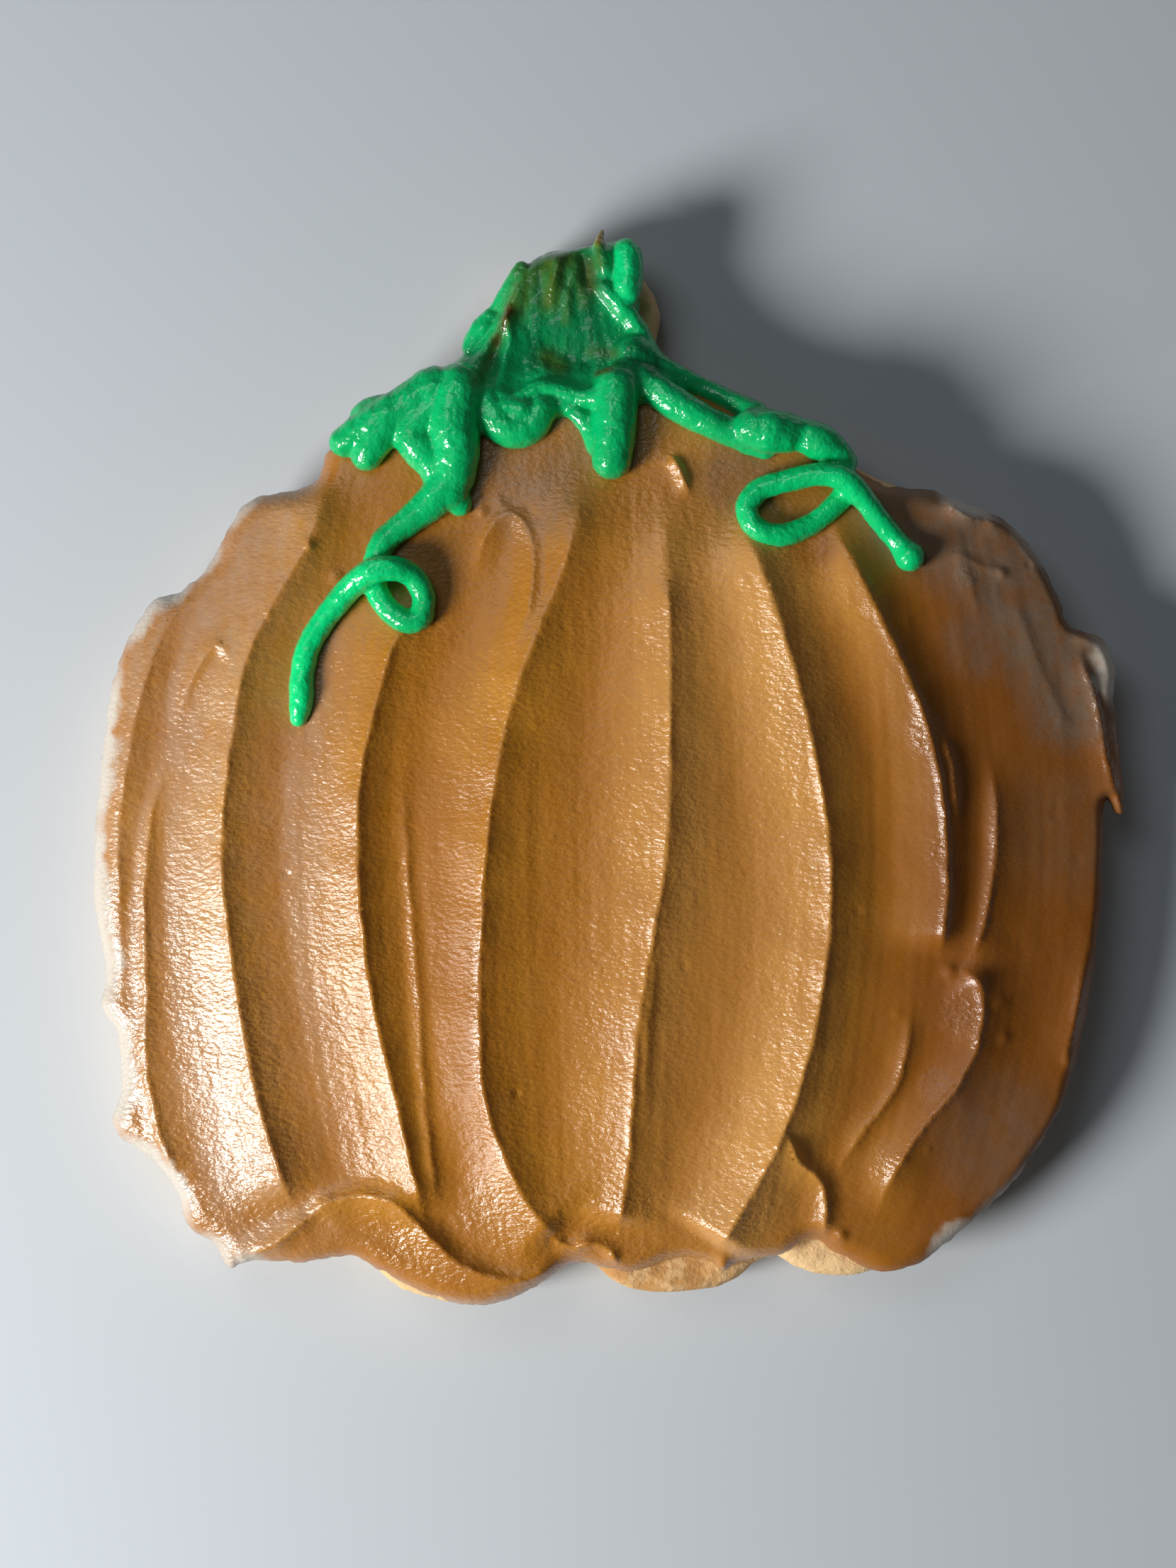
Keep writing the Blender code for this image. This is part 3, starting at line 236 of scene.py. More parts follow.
# The knife-smeared patch that joins them, clockwise from its spike
PATCH_OUTLINE = [(-0.4, 51.6), (2.6, 51.6), (3.5, 49.4), (3.1, 45.2), (3.4, 42.0), (6.0, 39.6), (4.8, 36.2),
                 (1.4, 34.6), (-4.0, 34.0), (-10.6, 32.8), (-15.0, 32.6), (-18.4, 34.2), (-18.8, 36.8),
                 (-15.4, 39.6), (-12.6, 41.8), (-11.0, 44.6), (-8.6, 48.6), (-6.0, 50.6), (-3.2, 50.9)]
PATCH_RIDGES: dict[str, Ridge] = {
    "streak_outer": Ridge([(-9.4, 44.4), (-11.2, 42.0), (-12.3, 39.6), (-12.8, 36.4)], 0.9, 1.3, 1.2, 1.5, 1),
    "streak_west": Ridge([(-8.2, 48.8), (-9.6, 44.8), (-9.7, 41.0), (-10.5, 37.8), (-10.9, 35.8)],
                         0.8, 1.2, 1.6, 1.5, 1),
    "streak_middle": Ridge([(-4.6, 50.4), (-5.3, 47.0), (-5.6, 44.4)], 0.7, 1.6, 1.2, 1, 2),
    "streak_east": Ridge([(-3.7, 47.4), (-3.9, 44.8), (-4.1, 42.6)], 0.4, 1.0, 1.0, 1.5, 1.5),
    "stem_hollow": Ridge([(-2.5, 50.6), (-2.2, 48.4), (-1.9, 46.2)], -0.9, 1.2, 1.2, 1, 1.5),
    "stem_bowl": Ridge([(-6.6, 42.6), (-4.4, 40.2), (-0.8, 39.2)], -0.5, 3.0, 3.0, 2, 2),
}

# Pits and lumps that stand out on the orange icing: place, reach and height
MARKS: list[Quad] = [
    (46.4, 12.9, 1.0, 0.45), (48.4, 10.6, 1.1, 0.4), (48.9, 7.4, 0.9, 0.3), (38.2, 18.9, 0.5, 0.35),
    (40.8, 19.8, 0.25, -0.25), (33.8, 26.3, 0.8, 0.35), (36.6, 25.3, 0.9, 0.35), (36.2, 24.1, 0.9, -0.4),
    (35.2, 22.6, 1.3, -0.2), (22.5, -45.2, 0.6, 0.45), (22.8, -47.4, 0.5, 0.25), (-2.2, -45.9, 0.8, 0.3),
    (0.2, -47.2, 0.5, 0.3), (11.1, -48.3, 0.7, 0.3), (-29.0, 20.6, 1.6, 0.2), (-12.2, 24.8, 0.5, 0.25),
    (-10.4, 25.6, 0.4, 0.2), (33.0, -19.6, 0.7, 0.35), (36.0, -20.6, 0.8, 0.3), (-8.9, -31.2, 0.3, -0.3),
    (-28.8, 21.5, 0.45, 0.35), (-26.3, 18.5, 0.6, 0.25), (-24.9, 17.9, 0.5, 0.25), (47.6, -17.2, 0.6, 0.3),
    (44.9, -28.4, 0.6, 0.3), (38.0, -22.6, 0.8, 0.18), (38.4, -26.0, 0.6, 0.2),
]

# Where the orange icing is thin enough for the pale dough to show, with a painted pale reflection on its rim:
# place, reach and share
THIN_AND_SHEEN_PLACES: list[Quad] = [
    (-49.5, 2.0, 12.0, 0.9), (-50.0, -14.0, 14.0, 1.0), (-48.5, -28.0, 11.0, 1.0), (-44.5, -40.0, 8.0, 0.9),
    (-37.0, -47.5, 5.0, 0.7), (-44.5, 15.5, 6.0, 0.8), (47.8, 9.5, 4.5, 0.9), (35.0, 26.2, 4.0, 0.8),
    (41.0, 22.0, 4.0, 0.4), (33.2, -45.6, 3.6, 0.8), (38.0, -41.4, 5.0, 0.3), (-13.0, -52.0, 5.0, 0.25),
    (-36.0, 25.6, 3.6, 0.6), (-39.6, 20.6, 3.4, 0.6), (-43.0, 17.6, 3.6, 0.8),
]

# Painted grey sheen, a reflection of the sky, beyond the shoulder step: a line down its middle
GREY_SHEEN_SHOULDER: list[Pair] = [(29.0, 24.2), (33.6, 22.4), (38.0, 18.6), (40.8, 14.6), (44.2, 9.4),
                             (45.2, 6.6)]

# Other places where grey sheen and shade are painted on the orange icing: place, reach and share
GREY_SHEEN_AND_SHADE_PLACES: list[Quad] = [
    (-7.0, 27.0, 7.5, 0.45), (-2.0, 31.5, 4.5, 0.35), (44.5, -6.0, 9.0, 0.22), (38.0, -36.0, 9.0, 0.4),
    (36.0, 12.5, 5.0, 0.5), (12.5, 28.4, 5.5, 0.4),
]

# Painted shadows that the green ropes cast on the orange icing: place, reach and share
PAINTED_SHADOW_PLACES: list[Quad] = [(12.6, 28.2, 6.5, 0.9), (19.6, 21.6, 3.5, 0.7)]

# Where the orange icing shines and ripples more than round about: place, reach and share
SHINY_PLACES: list[Quad] = [
    (33.8, -23.5, 3.2, 0.7), (31.5, -30.5, 2.6, 0.6), (27.0, -38.0, 3.5, 0.6), (30.6, 3.6, 3.0, 0.8),
    (31.8, -8.0, 2.2, 0.6), (34.6, 18.6, 1.6, 0.8), (25.8, 15.5, 2.4, 0.6), (-26.6, 18.6, 2.0, 0.8),
    (-21.0, -45.5, 7.0, 1.0), (10.5, -44.6, 3.0, 0.9), (0.0, -46.0, 3.0, 0.8), (48.6, 3.0, 2.5, 0.5),
    (-38.0, 8.0, 4.0, 0.7), (-2.0, 30.5, 3.0, 0.6), (-10.0, 31.0, 3.0, 0.5), (-13.0, -3.0, 3.0, 0.5),
]


class Tone(Enum):
    """What the knife mixed into the green of the stem, and a lighter green on parts of the ropes."""

    OLIVE = "olive"
    BROWN = "brown"
    ORANGE = "orange"
    LIGHT = "light"


class Smear(NamedTuple):
    """A short streak of another tone: where it starts and ends, half its width, and how strong it is."""

    tone: Tone
    start: Pair
    end: Pair
    width: float
    share: float


SMEARS: dict[str, Smear] = {
    "crown_streak": Smear(Tone.OLIVE, (-7.6, 48.4), (-4.4, 49.8), 1.9, 0.9),
    "outer_streak": Smear(Tone.OLIVE, (-7.4, 48.4), (-9.4, 44.2), 1.3, 0.95),
    "middle_streak": Smear(Tone.OLIVE, (-4.9, 49.0), (-5.7, 45.4), 1.2, 0.95),
    "east_streak": Smear(Tone.OLIVE, (-3.6, 47.6), (-4.2, 43.4), 0.5, 0.5),
    "left_edge": Smear(Tone.BROWN, (-9.6, 44.4), (-10.7, 41.4), 0.6, 0.9),
    "left_foot": Smear(Tone.OLIVE, (-10.9, 41.4), (-12.6, 37.2), 0.7, 0.8),
    "pit": Smear(Tone.BROWN, (-2.0, 48.9), (-1.7, 46.6), 0.75, 0.85),
    "pit_side": Smear(Tone.OLIVE, (-3.0, 48.0), (-2.4, 45.0), 0.6, 0.6),
    "bowl_west": Smear(Tone.OLIVE, (-5.9, 39.9), (-4.7, 38.9), 0.9, 0.8),
    "bowl_east": Smear(Tone.BROWN, (-1.6, 40.5), (0.5, 40.2), 0.6, 0.5),
    "bowl_slit": Smear(Tone.BROWN, (-1.0, 38.2), (0.2, 38.4), 0.35, 0.9),
    "spike": Smear(Tone.ORANGE, (-0.9, 51.4), (-0.5, 52.8), 0.6, 0.8),
    "spike_foot": Smear(Tone.OLIVE, (-1.0, 51.2), (-0.7, 48.6), 0.5, 0.7),
    "tail_low": Smear(Tone.LIGHT, (-29.6, 5.0), (-29.2, 11.0), 3.0, 0.9),
    "tail_high": Smear(Tone.LIGHT, (-29.2, 11.0), (-23.0, 18.0), 3.0, 0.7),
    "curl": Smear(Tone.LIGHT, (1.9, 50.0), (1.6, 45.6), 1.6, 0.8),
    "loop": Smear(Tone.LIGHT, (14.4, 24.4), (21.0, 24.4), 2.6, 0.5),
    "tail_right": Smear(Tone.LIGHT, (22.0, 28.0), (29.0, 20.5), 2.4, 0.6),
}


def ease(t: np.ndarray) -> np.ndarray:
    """A smooth step from 0 to 1."""
    t = np.clip(t, 0, 1)
    return t * t * (3 - 2 * t)


def rounded_rim(distance: np.ndarray, radius: float | np.ndarray) -> np.ndarray:
    """0 at an edge, rising as a quarter circle to 1 at the radius."""
    return np.sqrt(np.clip(1 - (1 - np.clip(distance / radius, 0, 1)) ** 2, 0, 1))


def spots(x: np.ndarray, y: np.ndarray, places: list[Quad]) -> np.ndarray:
    """How far points lie within round places.

    Args:
        x: Places across.
        y: Places along.
        places: Middle, reach and share of each round place.

    Returns:
        The largest share at each point, fading to 0 at the reach.
    """
    found = np.zeros(x.shape)
    for place_x, place_y, reach, share in places:
        found = np.maximum(found, share * ease(1.5 * (1 - np.hypot(x - place_x, y - place_y) / reach)))
    return found


def grain(x: np.ndarray, y: np.ndarray, across: float, along: float, seed: float) -> np.ndarray:
    """Smooth random values for each point.

    Args:
        x: Places across, in millimetres.
        y: Places along, in millimetres.
        across: Size of a swell across, in millimetres.
        along: Size of a swell along, in millimetres.
        seed: Picks one pattern out of many.

    Returns:
        Values from about -1 to 1, one for each point.
    """
    values = [noise.noise((a / across, b / along, seed)) for a, b in zip(x.ravel(), y.ravel())]
    return np.array(values).reshape(x.shape)


def hump(value: np.ndarray, middle: float | np.ndarray, reach: float) -> np.ndarray:
    """1 at the middle, falling away to both sides as a bell does."""
    return np.exp(-((value - middle) / reach) ** 2)


class Route:
    """A smooth line through given points, sampled at even steps."""

    def __init__(self, points: list[tuple[float, ...]], step: float, closed: bool = False) -> None:
        """Samples the line.

        Args:
            points: What the line passes through; columns after x and y are carried along.
            step: Distance between samples, in millimetres.
            closed: Whether the last point joins the first.
        """
        self.closed = closed
        self.samples = self._sampled(np.array(points, float), step)
        ends = np.vstack([self.samples, self.samples[:1]]) if closed else self.samples
        self.starts = ends[:-1, :2]
        self.spans = np.diff(ends[:, :2], axis=0)
        self.lengths = np.linalg.norm(self.spans, axis=1)
        self.length = float(self.lengths.sum())

    def _sampled(self, points: np.ndarray, step: float) -> np.ndarray:
        """Even samples of the smooth curve.

        Args:
            points: The given points.
            step: Distance between samples.

        Returns:
            One row for each sample.
        """
        count = len(points)
        t = np.linspace(0, 1, CURVE_STEPS, endpoint=False)[:, None]
        pieces = []
        for i in range(count if self.closed else count - 1):
            places = [i + k for k in (-1, 0, 1, 2)]
            if self.closed:
                before, start, end, after = (points[k % count] for k in places)
            else:
                before, start, end, after = (points[min(max(k, 0), count - 1)] for k in places)
            pieces.append(0.5 * (2 * start + (end - before) * t
                                 + (2 * before - 5 * start + 4 * end - after) * t ** 2
                                 + (3 * start - before - 3 * end + after) * t ** 3))
        dense = np.vstack(pieces + [points[:1] if self.closed else points[-1:]])
        travelled = np.concatenate([[0], np.cumsum(np.linalg.norm(np.diff(dense[:, :2], axis=0), axis=1))])
        parts = max(2, round(travelled[-1] / step))
        stations = np.linspace(0, travelled[-1], parts + 1)[:-1 if self.closed else None]
        return np.stack([np.interp(stations, travelled, column) for column in dense.T], axis=1)

    def nearest(self, x: np.ndarray, y: np.ndarray,
                reach: float = ANY_REACH) -> tuple[np.ndarray, np.ndarray, np.ndarray]:
        """Where points stand beside the line.

        Args:
            x: Places across.
            y: Places along.
            reach: Points further off than this may keep a large distance.

        Returns:
            Signed distance to the left of the line's heading, plain distance, and length along the line.
        """
        best = np.full(x.shape, FAR)
        side = np.ones(x.shape)
        along = np.zeros(x.shape)
        before = 0.0
        for start, span, length in zip(self.starts, self.spans, self.lengths):
            dx, dy = x - start[0], y - start[1]
            near = np.nonzero(dx * dx + dy * dy < (reach + length) ** 2)[0]
            dx, dy = dx[near], dy[near]
            t = np.clip((dx * span[0] + dy * span[1]) / length ** 2, 0, 1)
            distance = np.hypot(dx - t * span[0], dy - t * span[1])
            nearer = distance < best[near]
            chosen = near[nearer]
            best[chosen] = distance[nearer]
            side[chosen] = np.sign(span[0] * dy - span[1] * dx)[nearer]
            along[chosen] = before + t[nearer] * length
            before += length
        return side * best, best, along

    def holds(self, x: np.ndarray, y: np.ndarray) -> np.ndarray:
        """Whether each point lies within the closed line."""
        found = np.zeros(x.shape, bool)
        corners = self.samples[:, :2]
        for (x0, y0), (x1, y1) in zip(corners, np.roll(corners, -1, axis=0)):
            if y0 != y1:
                found ^= ((y0 > y) != (y1 > y)) & (x < x0 + (y - y0) * (x1 - x0) / (y1 - y0))
        return found


@dataclass
class KnifeRidge:
    """A crest left by the knife: a slow climb from the west, a sharp lip, a hollow east side."""

    form: Ridge
    wander: float = 0.2
    wander_length: float = 2.6
    unevenness: float = 0.16
    uneven_length: float = 5.5
    bead_lengths: Pair = (0.8, 4.0)
    lip: float = 0.0
    lip_width: float = 0.3
    foot_rounding: float = 0.12
    crown_rounding: float = 0.7
    most_rounding: float = 0.12
    crest_width: float = 0.7

    def __post_init__(self) -> None:
        """Samples the crest's route."""
        self.route = Route(self.form.route, 0.8)

    def profile(self, east: np.ndarray, rounding: np.ndarray) -> np.ndarray:
        """The cut across the ridge.

        Args:
            east: Distance from the crest, positive on the steep side.
            rounding: How far the crest is rounded to both sides.

        Returns:
            Nearly 1 at the crest and 0 at both feet.
        """
        total = np.zeros(east.shape)
        for share in ROUNDING_STEPS:
            moved = east + share * rounding
            climb = np.clip(1 + moved / self.form.rise, 0, 1) ** CLIMB_CURVE
            fall = np.clip(1 - moved / self.form.drop, 0, 1) ** FALL_CURVE
            total += np.where(moved < 0, climb, fall)
        return total / len(ROUNDING_STEPS)

    def crest_at(self, x: np.ndarray, y: np.ndarray) -> np.ndarray:
        """How near each point is to the crest: 1 on it, 0 beside it and beyond the faded ends."""
        _, away, along = self.route.nearest(x, y, 2.0)
        fade = ease(along / self.form.fade_in) * ease((self.route.length - along) / self.form.fade_out)
        return fade * hump(away, 0, self.crest_width)

    def height_at(self, x: np.ndarray, y: np.ndarray) -> np.ndarray:
        """The ridge's own height over each point.

        Args:
            x: Places across.
            y: Places along.

        Returns:
            Heights in millimetres, 0 beyond the ridge's reach.
        """
        form = self.form
        reach = max(form.rise, form.drop) + self.crown_rounding
        east, away, along = self.route.nearest(x, y, reach)
        found = np.zeros(x.shape)
        near = away < reach
        along, east = along[near], east[near]
        seed = form.route[0][0] * 3.1
        level = np.zeros(along.shape)
        sway = self.wander * grain(along, level, self.wander_length, 1, seed)
        east = east + sway * np.exp(-np.abs(east) / 2.0)
        uneven = 1 + self.unevenness * grain(along, level, self.uneven_length, 1, seed + 9)
        rounding = self.foot_rounding + (self.crown_rounding - self.foot_rounding) * ease((y[near] - 2) / 24)
        rounding = np.minimum(rounding, self.most_rounding * min(form.rise, form.drop))
        fade = ease(along / form.fade_in) * ease((self.route.length - along) / form.fade_out)
        found[near] = form.height * uneven * fade * self.profile(east, rounding)
        if self.lip > 0:
            short, long = self.bead_lengths
            beads = 0.7 + grain(along, level, short, 1, seed + 3) + grain(along, level, long, 1, seed + 5)
            found[near] += self.lip * np.clip(beads, 0, 2) * fade * hump(east, 0, self.lip_width)
        return found


class Nodes:
    """A material's node tree, with short calls that add and wire nodes."""

    def __init__(self, name: str) -> None:
        """Starts a material with only its Principled shader."""
        self.material = bpy.data.materials.new(name)
        self.material.use_nodes = True
        self.tree = self.material.node_tree
        self.shader = self.tree.nodes["Principled BSDF"]

    def add(self, kind: str, inputs: dict | None = None, **settings: object) -> bpy.types.Node:
        """Adds a node.

        Args:
            kind: The node's type name, without its ShaderNode prefix.
            inputs: Socket name or index to a value or to another node's output.
            **settings: Properties of the node.

        Returns:
            The new node.
        """
        node = self.tree.nodes.new("ShaderNode" + kind)
        for name, value in settings.items():
            setattr(node, name, value)
        for key, value in (inputs or {}).items():
            self.feed(node.inputs[key], value)
        return node

    def feed(self, socket: bpy.types.NodeSocket, value: object) -> None:
        """Sets a socket to a value, or links it to an output."""
        if isinstance(value, bpy.types.NodeSocket):
            self.tree.links.new(value, socket)
        else:
            socket.default_value = value

    def places(self) -> bpy.types.NodeSocket:
        """The surface's place on the object, in metres."""
        return self.add("TexCoord").outputs["Object"]

    def noise(self, vector: object, scale: float, detail: float = 2.0,
              roughness: float = 0.5) -> bpy.types.NodeSocket:
        """A noise pattern of so many swells a metre."""
        inputs = {"Vector": vector, "Scale": scale, "Detail": detail, "Roughness": roughness}
        return self.add("TexNoise", inputs).outputs["Fac"]

    def span(self, value: object, low: float, high: float,
             to_low: float = 0.0, to_high: float = 1.0) -> bpy.types.NodeSocket:
        """A value's range, stretched and clamped to another range."""
        node = self.add("MapRange", {0: value, 1: low, 2: high, 3: to_low, 4: to_high})
        return node.outputs[0]

    def maths(self, operation: str, first: object, second: object = 0.0) -> bpy.types.NodeSocket:
        """One sum on two values."""
        return self.add("Math", {0: first, 1: second}, operation=operation).outputs[0]

    def blend(self, share: object, first: object, second: object) -> bpy.types.NodeSocket:
        """A colour between two colours.

        Args:
            share: 0 gives the first colour and 1 the second.
            first: A colour or an output.
            second: A colour or an output.

        Returns:
            The blended colour's output.
        """
        node = self.add("Mix", data_type="RGBA")
        for socket, value in ((node.inputs[0], share), (node.inputs[6], first), (node.inputs[7], second)):
            self.feed(socket, (*value, 1.0) if isinstance(value, tuple) and len(value) == 3 else value)
        return node.outputs[2]

    def stored(self, name: str) -> bpy.types.NodeSocket:
        """A value kept on the mesh's points."""
        return self.add("Attribute", attribute_name=name).outputs["Fac"]

    def soften(self, weight: float, radius: Colour, scale: float) -> None:
        """Lets light sink in and come out nearby.

        Args:
            weight: How much of the light does so.
            radius: How far each colour spreads.
            scale: Size of that spread, in metres.
        """
        self.shader.inputs["Subsurface Weight"].default_value = weight
        self.shader.inputs["Subsurface Radius"].default_value = radius
        self.shader.inputs["Subsurface Scale"].default_value = scale

    def bump(self, height: object, strength: float, depth: float, below: object = None) -> bpy.types.NodeSocket:
        """A bumped normal, on top of another one if given."""
        node = self.add("Bump", {"Strength": strength, "Distance": depth, "Height": height})
        if below is not None:
            self.feed(node.inputs["Normal"], below)
        return node.outputs["Normal"]


@dataclass(frozen=True)
class ButtercreamFinish:
    """Caramel-orange icing with a moist skin: rippled where the knife pressed it, pale where it is thin, with
    painted shade in its hollows, shadows and right side and painted sheen where it faces the light.
    """

    body: Colour = (0.60, 0.250, 0.008)
    # deep serves random tone and also the painted shade in hollows
    deep: Colour = (0.39, 0.130, 0.0)
    # Painted shade for the right side
    painted_east_shade: Colour = (0.27, 0.078, 0.0)
    # Painted sheen for the middle strokes
    painted_sheen: Colour = (1.0, 0.56, 0.19)
    # Pale of thin icing, also used for painted sheen and reflection
    pale: Colour = (0.65, 0.58, 0.49)
    # Painted grey sheen and shade
    grey_sheen_and_shade: Colour = (0.20, 0.155, 0.11)
    cloud_scale: float = 90.0
    speck_scale: float = 1500.0
    roughness: float = 0.5
    roughness_scale: float = 420.0
    specular: float = 0.32
    skin_dry: float = 0.08
    skin_moist: float = 0.95
    skin_roughness: float = 0.14
    skin_index: float = 1.7
    ripple_scale: float = 2100.0
    ripple_stretch: tuple[float, float, float] = (0.8, 1.25, 1.0)
    ripple_depth: float = 0.00017
    grain_scale: float = 8000.0
    grain_depth: float = 0.000025

    def made(self) -> bpy.types.Material:
        """The finish as a material."""
        nodes = Nodes("Orange icing, swept")
        at = nodes.places()
        cloud = nodes.span(nodes.noise(at, self.cloud_scale, 4.0), 0.35, 0.68, 0.0, 0.55)
        colour = nodes.blend(cloud, self.body, self.deep)
        speck = nodes.span(nodes.noise(at, self.speck_scale, 3.0, 0.6), 0.42, 0.75, 0.0, 0.35)
        colour = nodes.blend(speck, colour, self.deep)
        # Painted shade in hollows, painted sheen in the middle, painted shade on the right, painted grey sheen
        # and shade, and pale thin icing with painted sheen
        for name, shade in (("painted_hollow_shade", self.deep), ("painted_sheen", self.painted_sheen), ("painted_east_shade", self.painted_east_shade),
                            ("grey_sheen_and_shade", self.grey_sheen_and_shade), ("thin_and_sheen", self.pale)):
            colour = nodes.blend(nodes.stored(name), colour, shade)
        nodes.feed(nodes.shader.inputs["Base Color"], colour)
        patches = nodes.noise(at, self.roughness_scale, 3.0)
        rough = nodes.span(patches, 0.3, 0.7, self.roughness - 0.08, self.roughness + 0.1)
        nodes.feed(nodes.shader.inputs["Roughness"], rough)
        lying = nodes.add("Mapping", {"Vector": at, "Scale": self.ripple_stretch}).outputs[0]
        ripples = nodes.noise(lying, self.ripple_scale, 1.5, 0.5)
        ripples = nodes.maths("MULTIPLY", ripples, nodes.stored("rippled"))
        rippled = nodes.bump(ripples, 1.0, self.ripple_depth)
        skin = nodes.bump(nodes.noise(at, self.grain_scale, 2.0, 0.6), 1.0, self.grain_depth, rippled)
        nodes.feed(nodes.shader.inputs["Normal"], skin)
        nodes.feed(nodes.shader.inputs["Coat Normal"], skin)
        skin_weight = nodes.span(nodes.stored("moist"), 0.0, 1.0, self.skin_dry, self.skin_moist)
        nodes.feed(nodes.shader.inputs["Coat Weight"], skin_weight)
        nodes.shader.inputs["Coat Roughness"].default_value = self.skin_roughness
        nodes.shader.inputs["Coat IOR"].default_value = self.skin_index
        nodes.shader.inputs["Specular IOR Level"].default_value = self.specular
        nodes.soften(0.2, (1.0, 0.45, 0.1), 0.001)
        return nodes.material


@dataclass(frozen=True)
class GreenFinish:
    """Moist green icing, duller on the stem, where the knife mixed it with the orange."""

    body: Colour = (0.0, 0.59, 0.175)
    deep: Colour = (0.0, 0.40, 0.108)
    dull: Colour = (0.001, 0.11, 0.035)
    olive: Colour = (0.085, 0.150, 0.006)
    brown: Colour = (0.100, 0.050, 0.002)
    orange: Colour = (0.55, 0.21, 0.012)
    light: Colour = (0.0, 0.84, 0.26)
    cloud_scale: float = 160.0
    streak_scale: float = 900.0
    streak_lean: tuple[float, float, float] = (0.0, 0.0, 0.22)
    streak_stretch: tuple[float, float, float] = (1.0, 0.14, 1.0)
    roughness: float = 0.4
    roughness_scale: float = 500.0
    specular: float = 0.15
    skin: float = 0.85
    skin_on_stem: float = 0.6
    skin_roughness: float = 0.12
    skin_index: float = 1.6
    lump_scale: float = 900.0
    lump_depth: float = 0.0002
    grain_scale: float = 2600.0
    grain_depth: float = 0.00006

    def made(self) -> bpy.types.Material:
        """The finish as a material."""
        nodes = Nodes("Green icing, piped")
        at = nodes.places()
        cloud = nodes.span(nodes.noise(at, self.cloud_scale, 3.0), 0.38, 0.72, 0.0, 0.8)
        colour = nodes.blend(cloud, self.body, self.deep)
        lie = {"Vector": at, "Rotation": self.streak_lean, "Scale": self.streak_stretch}
        streaks = nodes.noise(nodes.add("Mapping", lie).outputs[0], self.streak_scale, 4.0, 0.65)
        dull = nodes.maths("MULTIPLY", nodes.stored("stem"), nodes.span(streaks, 0.25, 0.6, 1.0, 0.55))
        colour = nodes.blend(nodes.stored(Tone.LIGHT.value), colour, self.light)
        colour = nodes.blend(dull, colour, self.dull)
        for tone, shade in ((Tone.OLIVE, self.olive), (Tone.BROWN, self.brown)):
            uneven = nodes.span(streaks, 0.38, 0.56, 0.55, 1.0)
            colour = nodes.blend(nodes.maths("MULTIPLY", nodes.stored(tone.value), uneven), colour, shade)
        colour = nodes.blend(nodes.stored(Tone.ORANGE.value), colour, self.orange)
        nodes.feed(nodes.shader.inputs["Base Color"], colour)
        patches = nodes.noise(at, self.roughness_scale, 3.0)
        rough = nodes.span(patches, 0.3, 0.7, self.roughness - 0.08, self.roughness + 0.14)
        nodes.feed(nodes.shader.inputs["Roughness"], rough)
        lumps = nodes.bump(nodes.noise(at, self.lump_scale, 2.0, 0.5), 1.0, self.lump_depth)
        skin = nodes.bump(nodes.noise(at, self.grain_scale, 1.5, 0.5), 1.0, self.grain_depth, lumps)
        nodes.feed(nodes.shader.inputs["Normal"], skin)
        nodes.feed(nodes.shader.inputs["Coat Normal"], skin)
        skin_weight = nodes.span(nodes.stored("stem"), 0.0, 1.0, self.skin, self.skin_on_stem)
        nodes.feed(nodes.shader.inputs["Coat Weight"], skin_weight)
        nodes.shader.inputs["Coat IOR"].default_value = self.skin_index
        nodes.shader.inputs["Coat Roughness"].default_value = self.skin_roughness
        nodes.shader.inputs["Specular IOR Level"].default_value = self.specular
        nodes.soften(0.2, (0.1, 1.0, 0.4), 0.001)
        return nodes.material


@dataclass(frozen=True)
class BakedFinish:
    """Pale sugar dough, toasted near the table and smeared with thin orange icing at the foot."""

    crumb: Colour = (1.0, 0.72, 0.38)
    shadowed: Colour = (0.90, 0.58, 0.28)
    toasted: Colour = (0.50, 0.25, 0.085)
    smeared: Colour = (0.60, 0.29, 0.075)
    toast_top: float = 0.0026
    blotch_scale: float = 120.0
    toast_scale: float = 260.0
    smear_scale: float = 600.0
    pit_scale: float = 700.0
    pit_depth: float = 0.0006
    crumb_scale: float = 2600.0
    crumb_depth: float = 0.0002

    def made(self) -> bpy.types.Material:
        """The finish as a material."""
        nodes = Nodes("Baked sugar dough")
        at = nodes.places()
        height = nodes.add("SeparateXYZ", {0: at}).outputs[2]
        low = nodes.span(height, 0.0002, self.toast_top, 1.0, 0.0)
        blotch = nodes.span(nodes.noise(at, self.blotch_scale, 5.0, 0.6), 0.3, 0.7)
        colour = nodes.blend(blotch, self.crumb, self.shadowed)
        uneven = nodes.span(nodes.noise(at, self.toast_scale, 4.0), 0.25, 0.6, 0.4, 1.0)
        colour = nodes.blend(nodes.maths("MULTIPLY", low, uneven), colour, self.toasted)
        patchy = nodes.span(nodes.noise(at, self.smear_scale, 4.0), 0.3, 0.55)
        colour = nodes.blend(nodes.maths("MULTIPLY", nodes.stored("smear"), patchy), colour, self.smeared)
        nodes.feed(nodes.shader.inputs["Base Color"], colour)
        nodes.feed(nodes.shader.inputs["Roughness"], nodes.span(blotch, 0.0, 1.0, 0.62, 0.85))
        coarse = nodes.bump(nodes.noise(at, self.pit_scale, 5.0, 0.65), 0.6, self.pit_depth)
        fine = nodes.bump(nodes.noise(at, self.crumb_scale, 4.0, 0.7), 0.5, self.crumb_depth, coarse)
        nodes.feed(nodes.shader.inputs["Normal"], fine)
        nodes.soften(0.12, (1.0, 0.5, 0.25), 0.001)
        return nodes.material


def mesh_object(name: str, mesh: bpy.types.Mesh) -> bpy.types.Object:
    """A shown object for a mesh."""
    obj = bpy.data.objects.new(name, mesh)
    bpy.context.scene.collection.objects.link(obj)
    return obj


